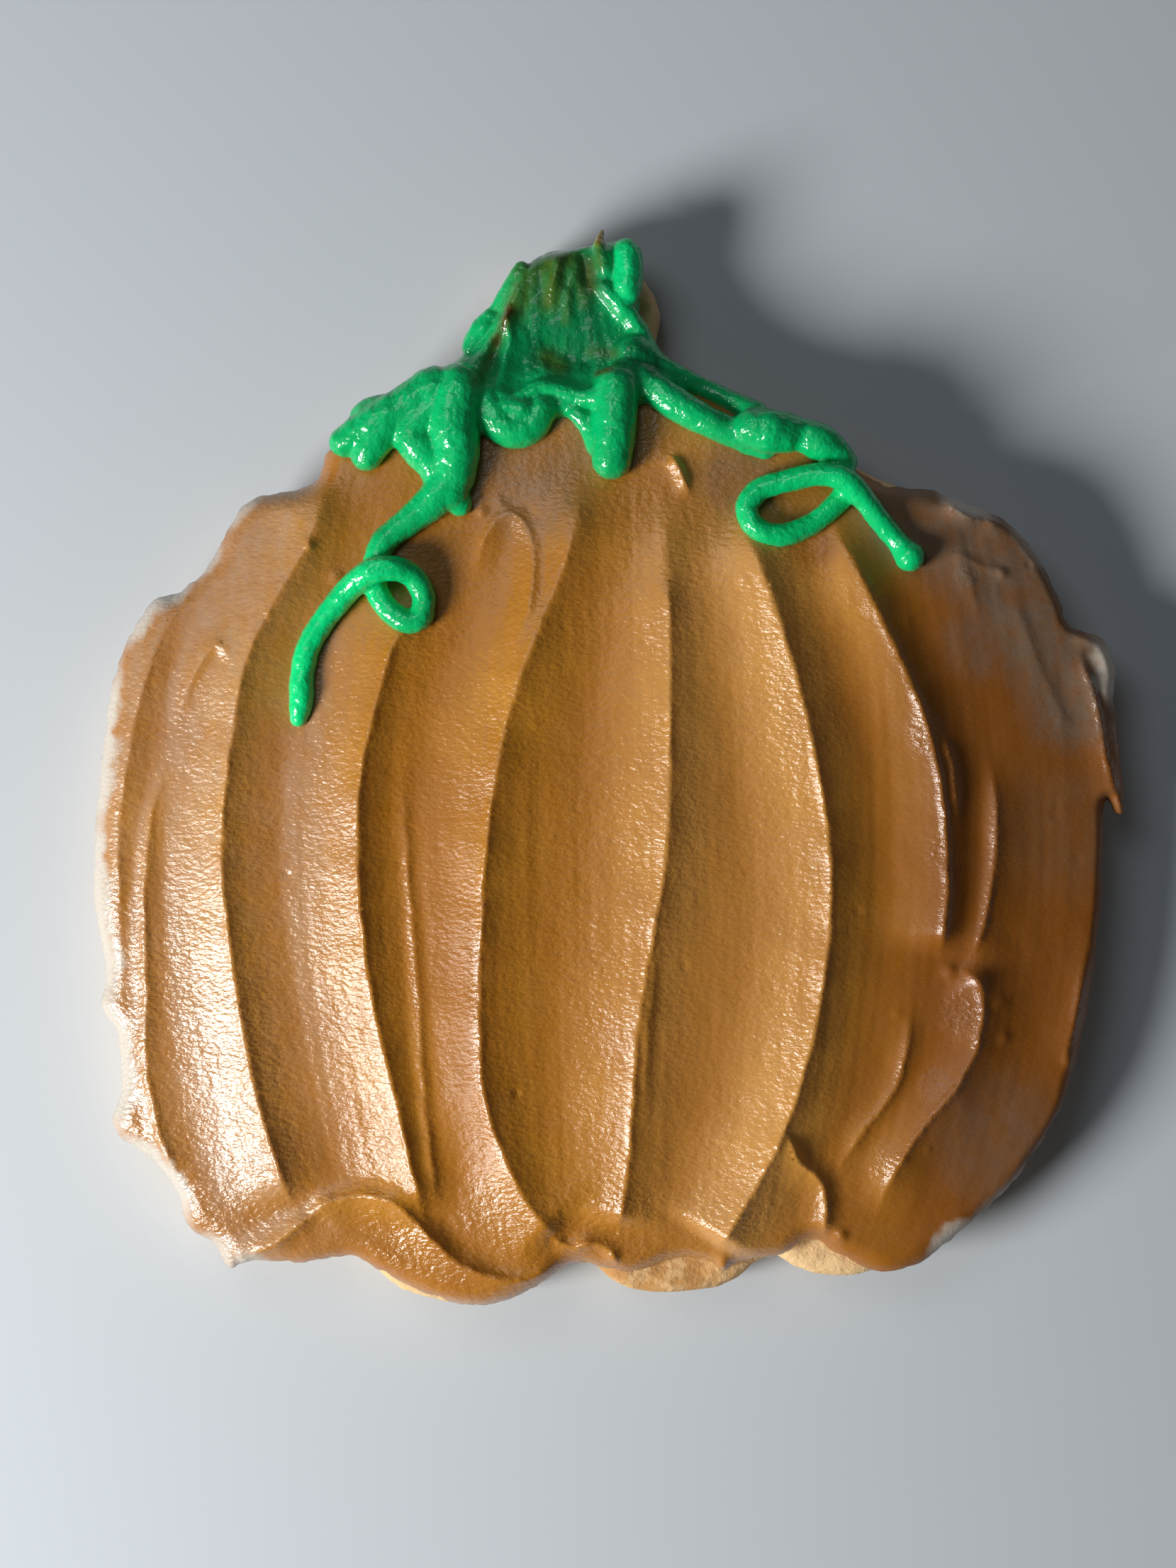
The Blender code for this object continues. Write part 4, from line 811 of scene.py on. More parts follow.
def finished_object(name: str, mesh: bpy.types.Mesh,
                    finish: ButtercreamFinish | GreenFinish | BakedFinish) -> bpy.types.Object:
    """A shown object for a mesh, with one finish all over."""
    obj = mesh_object(name, mesh)
    obj.data.materials.clear()
    obj.data.materials.append(finish.made())
    return obj


def even_mesh(name: str, rough: bpy.types.Mesh, voxel: float, softening: int = 0) -> bpy.types.Mesh:
    """Rebuilds a mesh as one skin of even faces.

    Args:
        name: The new mesh's name.
        rough: The mesh to rebuild, whose parts may cross.
        voxel: Size of the new faces, in millimetres.
        softening: How many times the new skin is smoothed.

    Returns:
        The new mesh, shaded smooth.
    """
    obj = mesh_object(name + "_rough", rough)
    remesh = obj.modifiers.new("Even faces", "REMESH")
    remesh.mode = "VOXEL"
    remesh.voxel_size = voxel * MM
    if softening:
        soften = obj.modifiers.new("Soften", "SMOOTH")
        soften.factor = 0.5
        soften.iterations = softening
    bpy.context.view_layer.update()
    even = bpy.data.meshes.new_from_object(obj.evaluated_get(bpy.context.evaluated_depsgraph_get()))
    bpy.data.objects.remove(obj)
    even.name = name
    smooth_shaded(even)
    return even


def vertex_places(mesh: bpy.types.Mesh) -> np.ndarray:
    """The mesh's points in millimetres, one row each."""
    flat = np.empty(len(mesh.vertices) * 3, np.float32)
    mesh.vertices.foreach_get("co", flat)
    return flat.reshape(-1, 3).astype(float) / MM


def place_vertices(mesh: bpy.types.Mesh, places: np.ndarray) -> None:
    """Moves the mesh's points to these places, given in millimetres, kept within the solids' box."""
    kept = np.clip(places * MM, *(np.array(corner) for corner in CAD_BOX))
    mesh.vertices.foreach_set("co", kept.astype(np.float32).ravel())
    mesh.update()


def store(mesh: bpy.types.Mesh, name: str, values: np.ndarray) -> None:
    """Keeps one value a point on the mesh, for its material."""
    layer = mesh.attributes.new(name, "FLOAT", "POINT")
    layer.data.foreach_set("value", values.astype(np.float32))


def smooth_shaded(mesh: bpy.types.Mesh) -> None:
    """Shades every face smooth."""
    mesh.polygons.foreach_set("use_smooth", [True] * len(mesh.polygons))


def even_grid(low: np.ndarray, high: np.ndarray, across: float, along: float) -> np.ndarray:
    """Points in staggered rows.

    Args:
        low: Lowest x and y.
        high: Highest x and y.
        across: Distance between points in a row.
        along: Distance between rows.

    Returns:
        One row of x and y for each point.
    """
    rows = []
    for i, y in enumerate(np.arange(low[1], high[1], along)):
        xs = np.arange(low[0] + (across / 2 if i % 2 else 0), high[0], across)
        rows.append(np.stack([xs, np.full(xs.shape, y)], axis=1))
    return np.vstack(rows)


class HeightSolid:
    """A closed mesh with a ragged edge, a shaped upper face and a flat underside."""

    def __init__(self, name: str, edge: Route, guides: list[np.ndarray], across: float, along: float) -> None:
        """Lays out the points seen from above.

        Args:
            name: The mesh's name.
            edge: The closed outline.
            guides: Lines that mesh edges follow, such as crests.
            across: Distance between points in a row.
            along: Distance between rows.
        """
        self.name = name
        outline = edge.samples[:, :2]
        grid = even_grid(outline.min(axis=0), outline.max(axis=0), across, along)
        clear = GUIDE_CLEARANCE * across
        taken = kdtree.KDTree(sum(len(guide) for guide in guides) + len(outline))
        for i, (x, y) in enumerate(np.vstack([outline] + guides)):
            taken.insert((x, y, 0), i)
        taken.balance()
        grid = grid[edge.holds(grid[:, 0], grid[:, 1])]
        grid = [(x, y) for x, y in grid if taken.find((x, y, 0))[2] > clear]
        points = [Vector(point) for point in outline]
        lines = []
        for guide in guides:
            lines += [(len(points) + i, len(points) + i + 1) for i in range(len(guide) - 1)]
            points += [Vector(point) for point in guide]
        points += [Vector(point) for point in grid]
        flat, _, self.faces, *_ = delaunay_2d_cdt(points, lines, [list(range(len(outline)))], 1,
                                                  MERGE_DISTANCE)
        self.x = np.array([point.x for point in flat])
        self.y = np.array([point.y for point in flat])

    def mesh(self, top: np.ndarray, floor: float) -> bpy.types.Mesh:
        """Raises the upper face and closes the underside.

        Args:
            top: Height of each laid-out point, in millimetres.
            floor: Height of the underside, in millimetres.

        Returns:
            The closed mesh; its first points are the laid-out ones, in order.
        """
        shell = bmesh.new()
        upper = [shell.verts.new((x * MM, y * MM, z * MM)) for x, y, z in zip(self.x, self.y, top)]
        for face in self.faces:
            shell.faces.new([upper[i] for i in face])
        onward = {}
        for edge in shell.edges:
            if edge.is_boundary:
                loop = edge.link_loops[0]
                onward[loop.vert] = loop.link_loop_next.vert
        ring = [next(iter(onward))]
        while onward[ring[-1]] is not ring[0]:
            ring.append(onward[ring[-1]])
        lower = [shell.verts.new((vert.co.x, vert.co.y, floor * MM)) for vert in ring]
        for i, vert in enumerate(ring):
            j = (i + 1) % len(ring)
            shell.faces.new((ring[j], vert, lower[i], lower[j]))
        for corners in tessellate_polygon([[vert.co for vert in lower]]):
            shell.faces.new([lower[i] for i in corners])
        bmesh.ops.recalc_face_normals(shell, faces=shell.faces)
        mesh = bpy.data.meshes.new(self.name)
        shell.to_mesh(mesh)
        shell.free()
        smooth_shaded(mesh)
        return mesh


@dataclass
class OrangeIcing:
    """The layer of icing swept from crown to foot with a knife."""

    across: float = 0.31
    along: float = 0.37
    edge_step: float = 0.36
    edge_ragged: float = 0.46
    crest_lip: float = 0.11
    crest_guides: tuple[float, ...] = (-0.26, 0.0, 0.26)
    tear_size: float = 1.7
    nick_size: float = 0.7
    streak_depth: float = 0.03
    streak_size: Pair = (0.9, 26.0)
    fine_streak_size: Pair = (0.45, 14.0)
    swell_depth: float = 0.07
    swell_size: Pair = (4.5, 9.0)
    small_swell_size: Pair = (1.8, 2.6)
    lump_depth: float = 0.045
    lump_size: Pair = (0.95, 0.75)
    dimple_seed: int = 12
    dimple_count: int = 50
    dimple_x: Pair = (-46.0, 46.0)
    dimple_y: Pair = (-45.0, 30.0)
    dimple_reach: Pair = (0.2, 0.5)
    dimple_height: Pair = (0.04, 0.14)
    crest_shine: float = 0.9
    east_slope: float = 1.1
    east_rim_sharper: float = 1.1
    east_slope_x: float = 34.0
    east_rim_x: float = 28.0
    edge_drop: float = 0.25
    girth_middle_y: float = -6.0
    girth_half: float = 66.0
    pressed_x: float = -13.0
    pressed_y: float = 16.0
    window_slope: float = 0.4
    scatter_size: Pair = (1.6, 2.6)
    fine_scatter_size: Pair = (0.6, 0.8)
    # Painted pale sheen on the left, strongest on slopes that face the window
    window_sheen: float = 0.02
    window_sheen_west: float = 0.07
    window_sheen_lit: float = 0.14
    window_sheen_x: float = -22.0
    painted_sheen_share: float = 0.28
    painted_sheen_x: float = 12.0
    grey_sheen_share: float = 0.74
    grey_sheen_reach: float = 7.0
    painted_east_shade_share: float = 0.9
    painted_east_shade_x: float = 21.0
    least_ridge: float = 0.3
    finish: ButtercreamFinish = field(default_factory=ButtercreamFinish)

    def __post_init__(self) -> None:
        """Reads the ridges and the outline."""
        self.ridges = [KnifeRidge(form, lip=self.crest_lip * min(1.0, 2 * form.height - 0.3))
                       for form in RIDGES.values()]
        self.edge = Route(ICING_OUTLINE, 1.2, closed=True)

    def relief(self, x: np.ndarray, y: np.ndarray) -> np.ndarray:
        """All the ridges' heights together."""
        return sum(ridge.height_at(x, y) for ridge in self.ridges)

    def thickness(self, x: np.ndarray, y: np.ndarray) -> np.ndarray:
        """How thick the icing would be at each point if it had no rounded edge."""
        body = VALLEY_THICKNESS + DOME_RISE * (1 - (np.hypot(x, y - DOME_MIDDLE_Y) / DOME_RADIUS) ** 2)
        body = body - self.east_slope * np.clip((x - self.east_slope_x) / 15, 0, 1)
        on_stem = ease((y - STEM_BASE_Y) / STEM_BLEND)
        return (body + self.relief(x, y)) * (1 - on_stem) + STEM_THICKNESS * on_stem

    def top(self, x: np.ndarray, y: np.ndarray) -> np.ndarray:
        """Height of the icing's upper face above the table.

        Args:
            x: Places across.
            y: Places along.

        Returns:
            Heights in millimetres, the icing's floor where there is none.
        """
        from_edge = self.edge.nearest(x, y, 4.0)[1]
        within = np.where(self.edge.holds(x, y), rounded_rim(from_edge, RIM_ROUND), 0)
        return ICING_FLOOR + self.thickness(x, y) * within

    def ragged_edge(self) -> Route:
        """The outline with small tears, which only reach inwards."""
        fine = Route(ICING_OUTLINE, self.edge_step, closed=True)
        heading = np.roll(fine.samples, -1, axis=0) - np.roll(fine.samples, 1, axis=0)
        heading /= np.linalg.norm(heading, axis=1, keepdims=True)
        # The outline is written clockwise, so inwards is on the right
        inward = np.stack([heading[:, 1], -heading[:, 0]], axis=1)
        x, y = fine.samples.T
        tears = grain(x, y, self.tear_size, self.tear_size, 4.0)
        nicks = grain(x, y, self.nick_size, self.nick_size, 8.0)
        depth = self.edge_ragged * np.clip(0.5 + tears + 0.5 * nicks, 0, 1)
        fine.samples = fine.samples + inward * depth[:, None]
        return fine

    def facing_window(self, x: np.ndarray, y: np.ndarray) -> np.ndarray:
        """1 where the icing climbs eastwards, so that it faces the window, and 0 where it falls."""
        climb = self.relief(x + self.window_slope, y) - self.relief(x - self.window_slope, y)
        return ease(0.25 + climb / (0.4 * self.window_slope))

    def shaded_stroke(self, x: np.ndarray, y: np.ndarray) -> np.ndarray:
        """The stroke left of the middle that gets painted shade and less shine, which runs a little to the
        right downwards.
        """
        return hump(x, -16 + 1.5 * np.clip((-14 - y) / 10, -1, 1), 4.5)

    def pressed(self, x: np.ndarray, y: np.ndarray) -> np.ndarray:
        """How hard the knife pressed: most at the lower left."""
        return ease((self.pressed_x - x) / 26) * ease((self.pressed_y - y) / 44)

    def rippled(self, x: np.ndarray, y: np.ndarray) -> np.ndarray:
        """How deeply the skin is rippled: most where the knife pressed hardest."""
        foot = 0.8 * ease((-34 - y) / 8) * ease((30 - x) / 20)
        middle = 0.22 + 0.4 * (1 - ease((x - 16) / 14))
        deepest = np.max([self.pressed(x, y), foot, middle, spots(x, y, SHINY_PLACES)], axis=0)
        return np.clip(deepest * (0.9 + 0.35 * grain(x, y, 7.0, 12.0, 6.0)), 0, 1)

    def moist(self, x: np.ndarray, y: np.ndarray) -> np.ndarray:
        """How much the skin shines: where it is rippled, and more evenly on the middle strokes."""
        foot = 0.85 * ease((-36 - y) / 7) * ease((30 - x) / 20)
        middle = 0.62 * (1 - ease((x - 18) / 10)) * (1 - 0.95 * self.shaded_stroke(x, y))
        return np.max([self.pressed(x, y), foot, middle, spots(x, y, SHINY_PLACES)], axis=0)

    def fine_relief(self, x: np.ndarray, y: np.ndarray) -> np.ndarray:
        """Streaks along the strokes, soft swells, lumps and small dimples.

        Args:
            x: Places across.
            y: Places along.

        Returns:
            Heights to add, in millimetres.
        """
        girth = np.sqrt(np.clip(1 - ((y - self.girth_middle_y) / self.girth_half) ** 2, 0.2, 1))
        meridian = x / girth
        streaks = grain(meridian, y, *self.streak_size, 1.0)
        streaks = streaks + 0.6 * grain(meridian, y, *self.fine_streak_size, 2.0)
        swells = grain(x, y, *self.swell_size, 3.0) + 0.5 * grain(x, y, *self.small_swell_size, 5.0)
        lumps = grain(x, y, *self.lump_size, 11.0) * self.rippled(x, y)
        height = self.streak_depth * streaks + self.swell_depth * swells + self.lump_depth * lumps
        rng = random.Random(self.dimple_seed)
        dimples = [(rng.uniform(*self.dimple_x), rng.uniform(*self.dimple_y), rng.uniform(*self.dimple_reach),
                    rng.uniform(*self.dimple_height) * rng.choice((-1, 1))) for _ in range(self.dimple_count)]
        for mark_x, mark_y, reach, rise in dimples + MARKS:
            near = np.nonzero(np.abs(x - mark_x) + np.abs(y - mark_y) < 4 * reach)[0]
            height[near] += rise * np.exp(-((x[near] - mark_x) ** 2 + (y[near] - mark_y) ** 2) / reach ** 2)
        return height

    def crest_lines(self, edge: Route) -> list[np.ndarray]:
        """Lines beside and along each crest that the mesh follows, so that crests stay sharp.

        Args:
            edge: The icing's ragged edge.

        Returns:
            Rows of x and y for each line.
        """
        lines = []
        for ridge in self.ridges:
            line = Route(ridge.form.route, self.edge_step).samples
            heading = np.gradient(line, axis=0)
            heading /= np.linalg.norm(heading, axis=1, keepdims=True)
            for aside in self.crest_guides:
                beside = line + aside * np.stack([-heading[:, 1], heading[:, 0]], axis=1)
                away = edge.nearest(beside[:, 0], beside[:, 1], 3.0)[1]
                beside = beside[edge.holds(beside[:, 0], beside[:, 1]) & (away > 0.6)]
                if len(beside) > 2:
                    lines.append(beside)
        return lines

    def build(self) -> bpy.types.Object:
        """Makes the icing and dresses it.

        Returns:
            The icing, riding on the cookie.
        """
        edge = self.ragged_edge()
        solid = HeightSolid("orange_icing_swept", edge, self.crest_lines(edge), self.across, self.along)
        x, y = solid.x, solid.y
        from_edge = edge.nearest(x, y, 5.0)[1]
        rim = RIM_ROUND - self.east_rim_sharper * ease((x - self.east_rim_x) / 12)
        height = ICING_FLOOR + self.thickness(x, y) * rounded_rim(from_edge, rim)
        height += self.fine_relief(x, y) * ease(from_edge / 1.2)
        mesh = solid.mesh(np.maximum(height, ICING_FLOOR + 0.02), ICING_FLOOR - self.edge_drop)
        self.mark(mesh, x, y, from_edge)
        icing = finished_object("orange_icing_swept", mesh, self.finish)
        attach(icing, "root")
        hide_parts("orange_icing")
        return icing

    def mark(self, mesh: bpy.types.Mesh, x: np.ndarray, y: np.ndarray, from_edge: np.ndarray) -> None:
        """Keeps on the mesh where the icing's colour and its skin change, with painted shade, shadow and sheen
        among the colours.

        Args:
            mesh: The icing's mesh, whose first points are the ones given.
            x: Places across.
            y: Places along.
            from_edge: Distance of each point from the icing's edge.
        """
        scattered = 0.5 + 0.5 * grain(x, y, *self.scatter_size, 14.0)
        scattered = scattered + 0.35 * grain(x, y, *self.fine_scatter_size, 15.0)
        thin_and_sheen = spots(x, y, THIN_AND_SHEEN_PLACES)
        band = np.clip(1 - from_edge / (0.8 + 2.6 * thin_and_sheen * np.clip(scattered + 0.3, 0, 1.3)), 0, 1)
        away = Route(GREY_SHEEN_SHOULDER, 1.0).nearest(x, y, 6.0)[1]
        # Painted pale sheen on the left, strongest on slopes that face the window
        lit = self.window_sheen_west + self.window_sheen_lit * self.facing_window(x, y)
        window_sheen = self.window_sheen + lit * ease((self.window_sheen_x - x) / 10)
        # Painted shade: darker in the hollows between crests, on the stroke left of the middle and around x
        # -3.5
        painted_hollow_shade = np.clip(0.75 - self.relief(x, y) / 1.2, 0, 1) * 0.8
        shaded = 0.75 * self.shaded_stroke(x, y) + 0.2 * hump(x, -3.5, 6)
        painted_hollow_shade = np.max([painted_hollow_shade, shaded * ease((14 - y) / 16), spots(x, y, PAINTED_SHADOW_PLACES)], axis=0)
        crests = np.max([ridge.crest_at(x, y) for ridge in self.ridges
                         if ridge.form.height > self.least_ridge], axis=0)
        # Painted grey sheen of reflected sky beyond the shoulder, and painted grey sheen and shade in the
        # places listed
        grey_sheen_and_shade = np.maximum(self.grey_sheen_share * ease((self.grey_sheen_reach - away) / 5), spots(x, y, GREY_SHEEN_AND_SHADE_PLACES))
        # Pale rim where the icing is thin, partly a painted reflection of the light
        thin_rim_and_sheen = ease(band * 1.6) * np.clip(1.2 * thin_and_sheen, 0, 1)
        # Painted shade: darker towards the right side, and in the hollows on the right
        east = np.maximum(ease((x - self.painted_east_shade_x) / 13), 0.8 * painted_hollow_shade * ease((x - 15) / 8))
        # Each one's values on the upper face, and its one value on the edge and the underside
        kept = {
            "thin_and_sheen": (np.maximum(thin_rim_and_sheen, window_sheen * np.clip(scattered + 0.4, 0, 1.2)), 0.4),
            "grey_sheen_and_shade": (grey_sheen_and_shade * np.clip(scattered + 0.35, 0.5, 1), 0.0),
            "painted_hollow_shade": (painted_hollow_shade, 0.3),
            # Painted sheen, lighter on the middle strokes
            "painted_sheen": (self.painted_sheen_share * hump(x, self.painted_sheen_x, 10) * (1 - painted_hollow_shade), 0.0),
            "painted_east_shade": (self.painted_east_shade_share * east, 0.0),
            "rippled": (np.maximum(self.rippled(x, y), 0.6 * crests), 0.3),
            "moist": (np.maximum(self.moist(x, y), self.crest_shine * crests), 0.2),
        }
        for name, (values, below) in kept.items():
            store(mesh, name, np.concatenate([values, np.full(len(mesh.vertices) - len(x), below)]))


@dataclass
class Rope:
    """A piped rope: points as x, y, radius and how far it is lifted."""

    points: list[Quad]
    sink: float = 0.34
    sides: int = 18
    step: float = 0.45
    lumpiness: float = 0.06
    lump_length: float = 1.6
    stiffness: float = 6.0
    bed_turns: int = 6
    bed_share: float = 0.6
    bed_dip: float = 0.4
    dome_shares: tuple[float, ...] = (0.85, 0.6, 0.3)

    def centre_line(self, icing: OrangeIcing) -> tuple[np.ndarray, np.ndarray]:
        """Where the rope's middle runs, laid on the icing.

        Args:
            icing: What the rope lies on.

        Returns:
            Rows of x, y and z, and the radius at each.
        """
        x, y, radius, lift = Route(self.points, self.step).samples.T
        below = icing.top(x, y)
        aside = self.bed_share * radius
        for turn in np.linspace(0, 2 * math.pi, self.bed_turns, endpoint=False):
            beside = icing.top(x + aside * math.cos(turn), y + aside * math.sin(turn))
            below = np.maximum(below, beside - self.bed_dip)
        window = max(3, round(self.stiffness / self.step) | 1)
        even = np.convolve(np.pad(below, window // 2, mode="edge"), np.ones(window) / window, mode="valid")
        z = even - EDGE_WALL + radius * (1 - self.sink) + lift
        return np.stack([x, y, z], axis=1), radius

    def add_to(self, shell: bmesh.types.BMesh, icing: OrangeIcing, seed: float) -> None:
        """Adds the rope as a closed tube with round ends.

        Args:
            shell: The mesh it goes into.
            icing: What the rope lies on.
            seed: Picks the rope's unevenness.
        """
        line, radius = self.centre_line(icing)
        stations = np.arange(len(line)) * self.step
        uneven = 1 + self.lumpiness * grain(stations, np.zeros(len(line)), self.lump_length, 1, seed)
        heading = np.gradient(line, axis=0)
        heading /= np.linalg.norm(heading, axis=1, keepdims=True)
        aside = np.stack([-heading[:, 1], heading[:, 0], np.zeros(len(line))], axis=1)
        aside /= np.linalg.norm(aside, axis=1, keepdims=True)
        above = np.cross(heading, aside)
        turns = np.linspace(0, 2 * math.pi, self.sides, endpoint=False)
        dome = [math.pi / 2 * share for share in self.dome_shares]
        hoops = [(line[0] - heading[0] * radius[0] * math.sin(angle), radius[0] * math.cos(angle), 0)
                 for angle in dome]
        hoops += [(line[i], radius[i] * uneven[i], i) for i in range(len(line))]
        hoops += [(line[-1] + heading[-1] * radius[-1] * math.sin(angle), radius[-1] * math.cos(angle), -1)
                  for angle in reversed(dome)]
        rings = []
        for middle, size, i in hoops:
            around = [aside[i] * math.cos(turn) + above[i] * math.sin(turn) for turn in turns]
            rings.append([shell.verts.new((middle + size * way) * MM) for way in around])
        for ring, after in zip(rings, rings[1:]):
            for i in range(self.sides):
                j = (i + 1) % self.sides
                shell.faces.new((ring[i], ring[j], after[j], after[i]))
        shell.faces.new(list(reversed(rings[0])))
        shell.faces.new(rings[-1])


@dataclass
class GreenIcing:
    """The smeared stem and everything piped from it, as one soft mass."""

    icing: OrangeIcing
    patch_thickness: float = 1.7
    patch_round: float = 1.5
    patch_step: float = 0.4
    patch_lean: float = 0.22
    streak_depth: float = 0.16
    streak_size: Pair = (0.9, 8.0)
    fine_streak_depth: float = 0.1
    fine_streak_size: Pair = (0.45, 5.0)
    voxel: float = 0.22
    softening: int = 4
    sink: float = 0.12
    sink_in_biscuit: float = 0.05
    overhang_lift: float = 0.2
    skin_swell: float = 0.07
    skin_scales: Pair = (0.9, 2.1)
    stem_foot_y: float = 36.8
    stem_west_x: float = -10.0
    curl_middle: Pair = (1.9, 47.8)
    curl_reach: Pair = (2.2, 4.4)
    finish: GreenFinish = field(default_factory=GreenFinish)

    def patch_mesh(self) -> bpy.types.Mesh:
        """The knife-smeared patch, from inside the icing below it to its streaked top."""
        edge = Route(PATCH_OUTLINE, 0.5, closed=True)
        solid = HeightSolid("stem_patch", edge, [], self.patch_step, self.patch_step)
        x, y = solid.x, solid.y
        from_edge = edge.nearest(x, y, 4.0)[1]
        relief = sum(KnifeRidge(form).height_at(x, y) for form in PATCH_RIDGES.values())
        leaning = x + self.patch_lean * y
        relief = relief + self.streak_depth * grain(leaning, y, *self.streak_size, 21.0)
        relief = relief + self.fine_streak_depth * grain(leaning, y, *self.fine_streak_size, 22.0)
        bulk = (self.patch_thickness + relief) * rounded_rim(from_edge, self.patch_round)
        below = np.maximum(self.icing.top(x, y), ICING_FLOOR) - EDGE_WALL
        return solid.mesh(below + np.maximum(bulk, 0.05), BISCUIT_THICKNESS - 0.1)

    def build(self) -> bpy.types.Object:
        """Makes the green icing and dresses it.

        Returns:
            The green icing, riding on the cookie.
        """
        shell = bmesh.new()
        patch = self.patch_mesh()
        shell.from_mesh(patch)
        bpy.data.meshes.remove(patch)
        for i, points in enumerate(ROPES.values()):
            Rope(points).add_to(shell, self.icing, 30.0 + 7 * i)
        rough = bpy.data.meshes.new("green_icing_rough")
        shell.to_mesh(rough)
        shell.free()
        mesh = even_mesh("green_icing_piped", rough, self.voxel, self.softening)
        self.settle(mesh)
        self.mark(mesh)
        piped = finished_object("green_icing_piped", mesh, self.finish)
        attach(piped, "root")
        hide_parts("green_icing")
        return piped

    def settle(self, mesh: bpy.types.Mesh) -> None:
        """Makes the skin uneven and rests the mass on the orange icing and the biscuit.

        Args:
            mesh: The green mass, changed in place.
        """
        places = vertex_places(mesh)
        normals = np.array([vert.normal for vert in mesh.vertices])
        slow, quick = self.skin_scales
        swell = np.array([noise.noise(place * slow) + 0.5 * noise.noise(place * quick)
                          for place in map(Vector, places)])
        places += normals * (self.skin_swell * swell)[:, None]
        x, y, z = places.T.copy()
        from_edge = self.icing.edge.nearest(x, y, 4.0)[1]
        outside = ~self.icing.edge.holds(x, y)
        bed = np.where(outside, BISCUIT_THICKNESS - self.sink_in_biscuit, self.icing.top(x, y) - self.sink)
        bed = np.where(outside & (from_edge > 1.0), BISCUIT_THICKNESS + self.overhang_lift, bed)
        places[:, 2] = np.clip(z, bed, CAD_BOX[1][2] / MM - 0.02)
        place_vertices(mesh, places)

    def mark(self, mesh: bpy.types.Mesh) -> None:
        """Keeps on the mesh where the stem is smeared and what is mixed into it.

        Args:
            mesh: The green mass.
        """
        x, y, _ = vertex_places(mesh).T
        patch = Route(PATCH_OUTLINE, 1.0, closed=True)
        within = patch.holds(x, y) * ease(patch.nearest(x, y, 4.0)[1] / 1.4)
        from_curl = np.hypot((x - self.curl_middle[0]) / self.curl_reach[0],
                             (y - self.curl_middle[1]) / self.curl_reach[1])
        smeared = ease((y - self.stem_foot_y) / 2.6) * ease((x - self.stem_west_x) / 3)
        store(mesh, "stem", within * smeared * np.clip(from_curl - 0.6, 0, 1))
        for tone in Tone:
            mixed = np.zeros(x.shape)
            for smear in SMEARS.values():
                if smear.tone is tone:
                    away = Route([smear.start, smear.end], 0.5).nearest(x, y)[1]
                    mixed = np.maximum(mixed, smear.share * hump(away, 0, smear.width))
            store(mesh, tone.value, mixed)


@dataclass
class Biscuit:
    """The baked base: the solid's own form, with the pits and swells of baked dough."""

    voxel: float = 0.5
    swell: float = 0.22
    swell_scale: float = 0.28
    pit: float = 0.2
    pit_scale: float = 1.1
    underside_share: float = 0.35
    smear_west: float = -17.0
    smear_east: float = 14.0
    smear_top: float = -40.0
    finish: BakedFinish = field(default_factory=BakedFinish)

    def build(self) -> bpy.types.Object:
        """Makes the biscuit and dresses it.

        Returns:
            The biscuit, riding on the cookie.
        """
        mesh = even_mesh("biscuit_baked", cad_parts["biscuit"].data.copy(), self.voxel)
        self.weather(mesh)
        baked = finished_object("biscuit_baked", mesh, self.finish)
        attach(baked, "root")
        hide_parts("biscuit")
        return baked

    def weather(self, mesh: bpy.types.Mesh) -> None:
        """Sinks swells and pits into the faces, never past the solid's own, and marks the smeared foot.

        Args:
            mesh: The biscuit's mesh, changed in place.
        """
        places = vertex_places(mesh)
        normals = np.array([vert.normal for vert in mesh.vertices])
        elsewhere = Vector((9, 9, 9))
        slow = np.array([noise.noise(place * self.swell_scale) for place in map(Vector, places)])
        quick = np.array([noise.noise(place * self.pit_scale + elsewhere) for place in map(Vector, places)])
        sink = self.swell * np.clip(0.5 + slow, 0, 1) + self.pit * np.clip(quick - 0.15, 0, 1) * 2
        sink *= np.where(normals[:, 2] < -0.7, self.underside_share, 1.0)
        x, y, z = places.T
        along_foot = ease((x - self.smear_west) / 3) * ease((self.smear_east - x) / 3) * (y < self.smear_top)
        store(mesh, "smear", along_foot * ease((z - BISCUIT_THICKNESS + 2.2) / 1.4) * 0.9)
        place_vertices(mesh, places - normals * sink[:, None])


@dataclass(frozen=True)
class Lamp:
    """A round soft light aimed at the cookie."""

    name: str
    azimuth: float
    elevation: float
    distance: float
    size: float
    power: float
    colour: Colour

    def build(self, aim: Vector) -> None:
        """Places the light.

        Args:
            aim: What it points at, in millimetres.
        """
        lamp = bpy.data.lights.new(self.name, "AREA")
        lamp.shape = "DISK"
        lamp.size = self.size * MM
        lamp.energy = self.power
        lamp.color = self.colour
        light = bpy.data.objects.new(self.name, lamp)
        bpy.context.scene.collection.objects.link(light)
        azimuth, elevation = math.radians(self.azimuth), math.radians(self.elevation)
        way = Vector((math.cos(elevation) * math.cos(azimuth), math.cos(elevation) * math.sin(azimuth),
                      math.sin(elevation)))
        light.location = (aim + way * self.distance) * MM
        light.rotation_euler = way.to_track_quat("Z", "Y").to_euler()


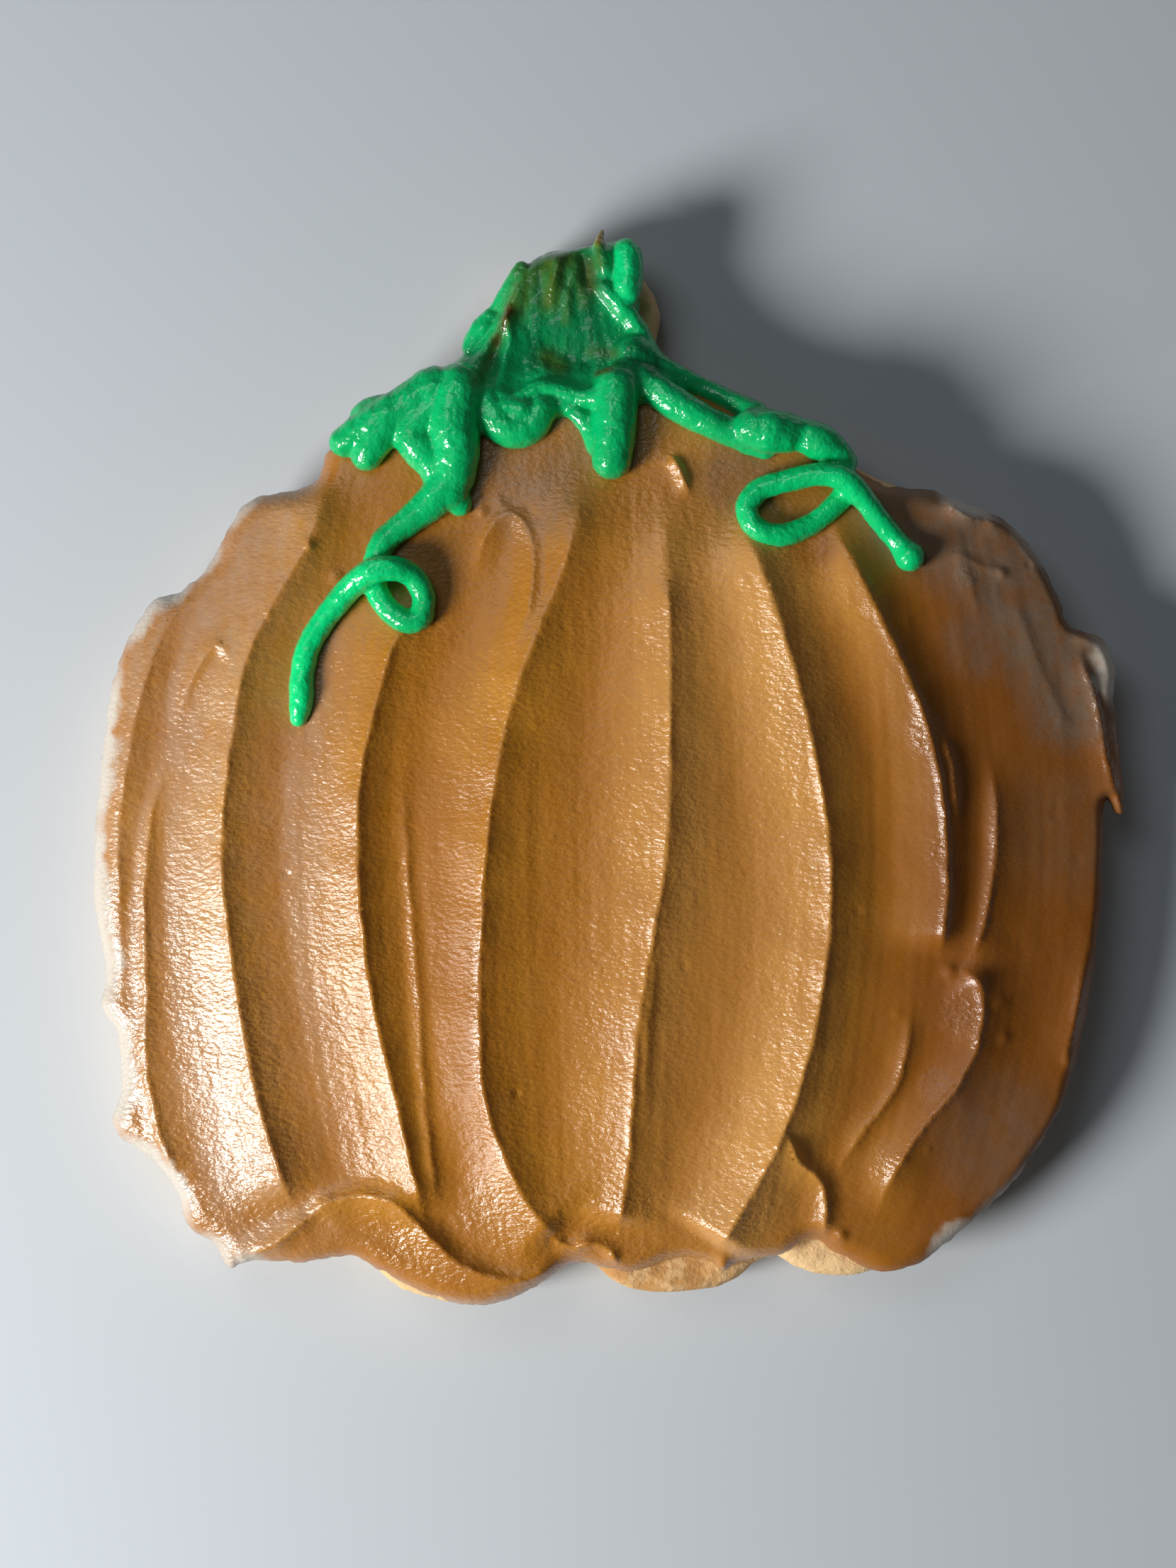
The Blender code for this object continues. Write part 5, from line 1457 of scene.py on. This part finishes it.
@dataclass(frozen=True)
class Studio:
    """The camera over the cookie, a pale table and soft light from the left."""

    aim: tuple[float, float, float] = (-1.97, -1.45, 8.0)
    distance: float = 296.7
    lens: float = 70.0
    lamps: tuple[Lamp, ...] = (
        Lamp("Window side", 207.0, 33.0, 400.0, 170.0, 1.9, (1.0, 0.985, 0.96)),
        Lamp("Overhead", 125.0, 58.0, 480.0, 240.0, 0.24, (0.86, 0.93, 1.0)),
    )
    sky_colour: Colour = (0.92, 0.95, 1.0)
    sky_strength: float = 0.04
    table_colour: Colour = (0.62, 0.67, 0.72)
    table_size: float = 3.0
    table_roughness: float = 0.85

    def build(self) -> None:
        """Sets up camera, lights, sky and table."""
        self.place_camera()
        for lamp in self.lamps:
            lamp.build(Vector(self.aim))
        self.light_room()
        self.lay_table()
        bpy.context.scene.view_settings.view_transform = "Standard"

    def place_camera(self) -> None:
        """The camera at the photograph's angle, straight above."""
        lens = bpy.data.cameras.new("Overhead")
        lens.lens = self.lens
        lens.clip_start = 0.01
        lens.clip_end = 10.0
        camera = bpy.data.objects.new("Overhead", lens)
        bpy.context.scene.collection.objects.link(camera)
        camera.location = (Vector(self.aim) + Vector((0, 0, self.distance))) * MM
        bpy.context.scene.camera = camera

    def light_room(self) -> None:
        """The dim even light that fills the shade."""
        world = bpy.data.worlds.new("Room")
        world.use_nodes = True
        backdrop = world.node_tree.nodes["Background"]
        backdrop.inputs["Color"].default_value = (*self.sky_colour, 1)
        backdrop.inputs["Strength"].default_value = self.sky_strength
        bpy.context.scene.world = world

    def lay_table(self) -> None:
        """A plain pale floor."""
        bpy.ops.mesh.primitive_plane_add(size=self.table_size, location=(0, 0, 0))
        table = bpy.context.object
        table.name = "table_top"
        nodes = Nodes("Pale table")
        nodes.shader.inputs["Base Color"].default_value = (*self.table_colour, 1)
        nodes.shader.inputs["Roughness"].default_value = self.table_roughness
        table.data.materials.append(nodes.material)


def main() -> None:
    """Builds the cookie's pieces in order, then the studio."""
    logging.basicConfig(level=logging.INFO, format="%(message)s")
    Studio().build()
    biscuit = Biscuit().build()
    LOG.info("%s: %d faces", biscuit.name, len(biscuit.data.polygons))
    orange = OrangeIcing()
    swept = orange.build()
    LOG.info("%s: %d faces", swept.name, len(swept.data.polygons))
    piped = GreenIcing(orange).build()
    LOG.info("%s: %d faces", piped.name, len(piped.data.polygons))


if __name__ == "__main__":
    main()
